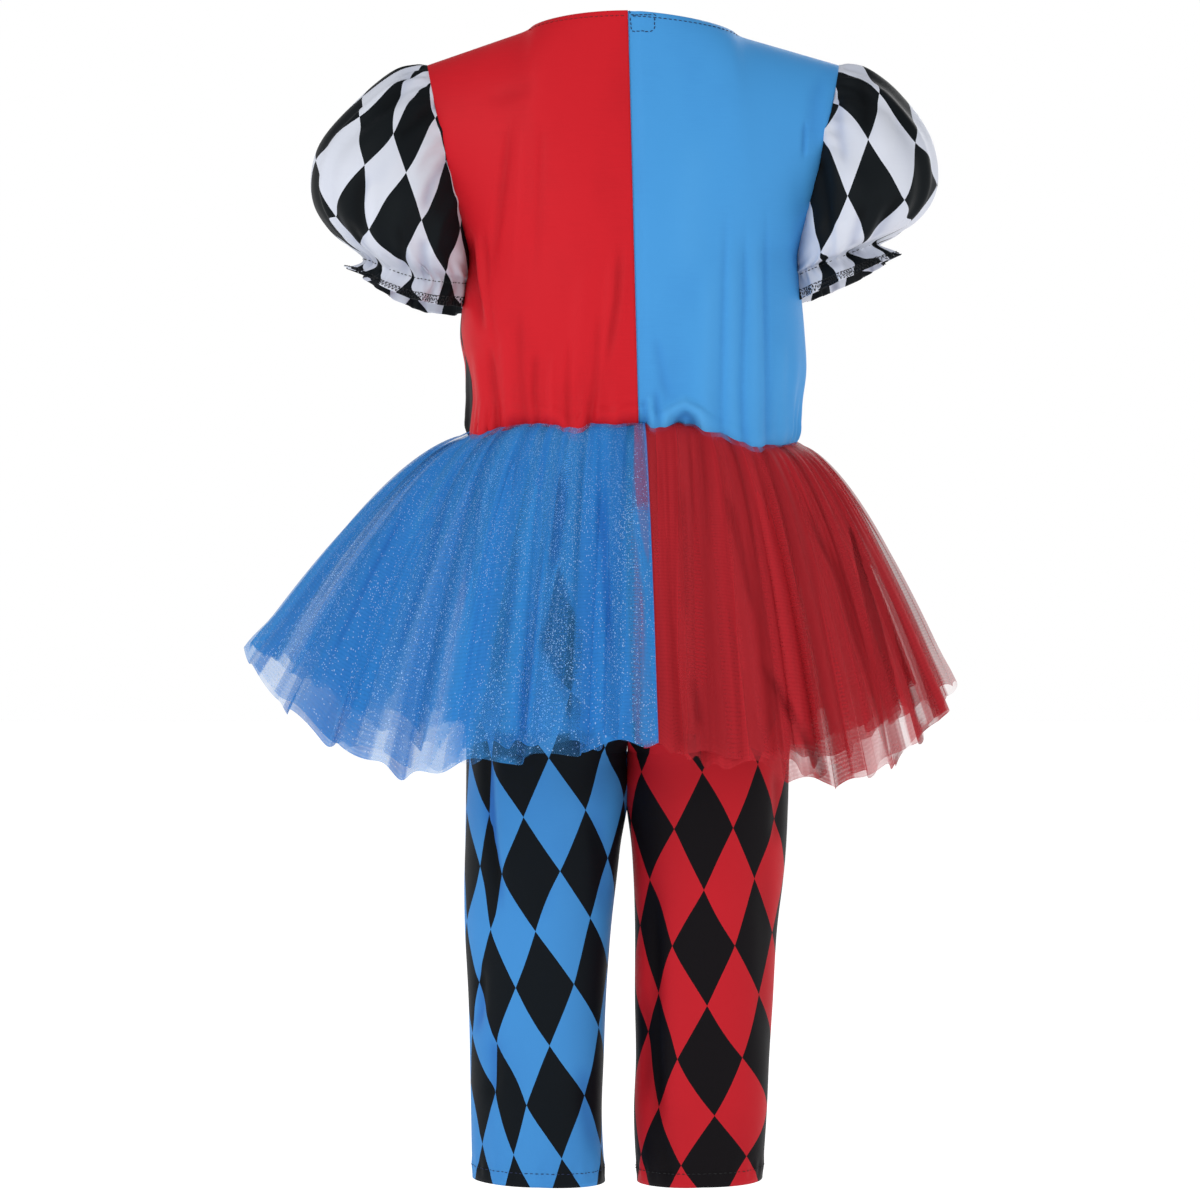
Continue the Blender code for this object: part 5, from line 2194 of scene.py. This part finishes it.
@dataclass(frozen=True)
class Softbox:
    """A soft lamp, turned towards the costume."""

    name: str
    place: tuple[float, float, float]
    size: float
    power: float
    target: tuple[float, float, float] = (0.0, 0.0, -0.33)

    def make(self) -> None:
        """Hangs the lamp."""
        lamp = bpy.data.lights.new(self.name, "AREA")
        lamp.size, lamp.energy = self.size, self.power
        light = linked(self.name, lamp)
        light.location = self.place
        aim = np.array(self.target) - self.place
        yaw = math.atan2(aim[0], -aim[1])
        light.rotation_euler = (math.atan2(math.hypot(aim[0], aim[1]), -aim[2]), 0, yaw + math.pi)


@dataclass(frozen=True)
class Studio:
    """The pale glowing floor, the white horizon under a dimmer ceiling, and three soft lamps."""

    floor_z: float = -0.72
    sheet_half: float = 9.0
    sheet_edge: float = 0.3
    horizon: float = 1.0
    sky: float = 0.26
    lamps: tuple[Softbox, ...] = (
        Softbox("key_softbox", (-1.3, -1.4, 0.9), 0.9, 16.0),
        Softbox("fill_softbox", (1.4, -1.3, 0.1), 1.2, 4.0),
        Softbox("back_softbox", (0.9, 1.7, 0.8), 1.2, 14.0),
    )

    def make(self) -> None:
        """Builds the floor, the surroundings and the lamps."""
        self.make_sheet()
        self.make_surroundings()
        bpy.context.scene.view_settings.view_transform = "Standard"
        for lamp in self.lamps:
            lamp.make()

    def make_surroundings(self) -> None:
        """Lights the costume from all round, strongly from the level of the horizon."""
        world = bpy.data.worlds.new("white_surround")
        world.use_nodes = True
        bpy.context.scene.world = world
        tree = world.node_tree
        towards = add_node(tree, "ShaderNodeTexCoord").outputs["Generated"]
        height = add_node(tree, "ShaderNodeSeparateXYZ", {}, {0: towards}).outputs[2]
        steep = add_node(tree, "ShaderNodeMath", {"operation": "ABSOLUTE"}, {0: height}).outputs[0]
        ease = {"interpolation_type": "SMOOTHSTEP", 1: 0.30, 2: 0.55, 3: self.horizon, 4: self.sky}
        strength = add_node(tree, "ShaderNodeMapRange", ease, {0: steep}).outputs[0]
        background = tree.nodes["Background"]
        background.inputs["Color"].default_value = WHITE
        tree.links.new(strength, background.inputs["Strength"])

    def make_sheet(self) -> None:
        """Lays the floor, a wide level sheet of opal acrylic that is lit from below."""
        half, edge = self.sheet_half, self.sheet_edge
        places = [-half, -half + edge, half - edge, half]
        points = []
        for row, y in enumerate(places):
            for column, x in enumerate(places):
                drop = edge if row in (0, 3) or column in (0, 3) else 0.0
                points.append((x, y, self.floor_z - drop))
        faces = [(4 * r + c, 4 * r + c + 1, 4 * r + c + 5, 4 * r + c + 4) for r in range(3) for c in range(3)]
        mesh = bpy.data.meshes.new("backlit_sheet")
        mesh.from_pydata(points, [], faces)
        mesh.shade_smooth()
        mesh.materials.append(OpalAcrylic().make())
        linked("backlit_sheet", mesh)


def main() -> None:
    """Builds the costume's pieces in order, and the studio round them."""
    logging.basicConfig(level=logging.INFO, format="%(name)s %(message)s")
    VIEW.make_camera()
    materials = Materials()
    Bodice(materials).make()
    for side in Side:
        Sleeve(side, materials).make()
        TrouserLeg(side, materials).make()
    for layer in skirt_layers():
        layer.make(materials)
    Studio().make()


if __name__ == "__main__":
    main()
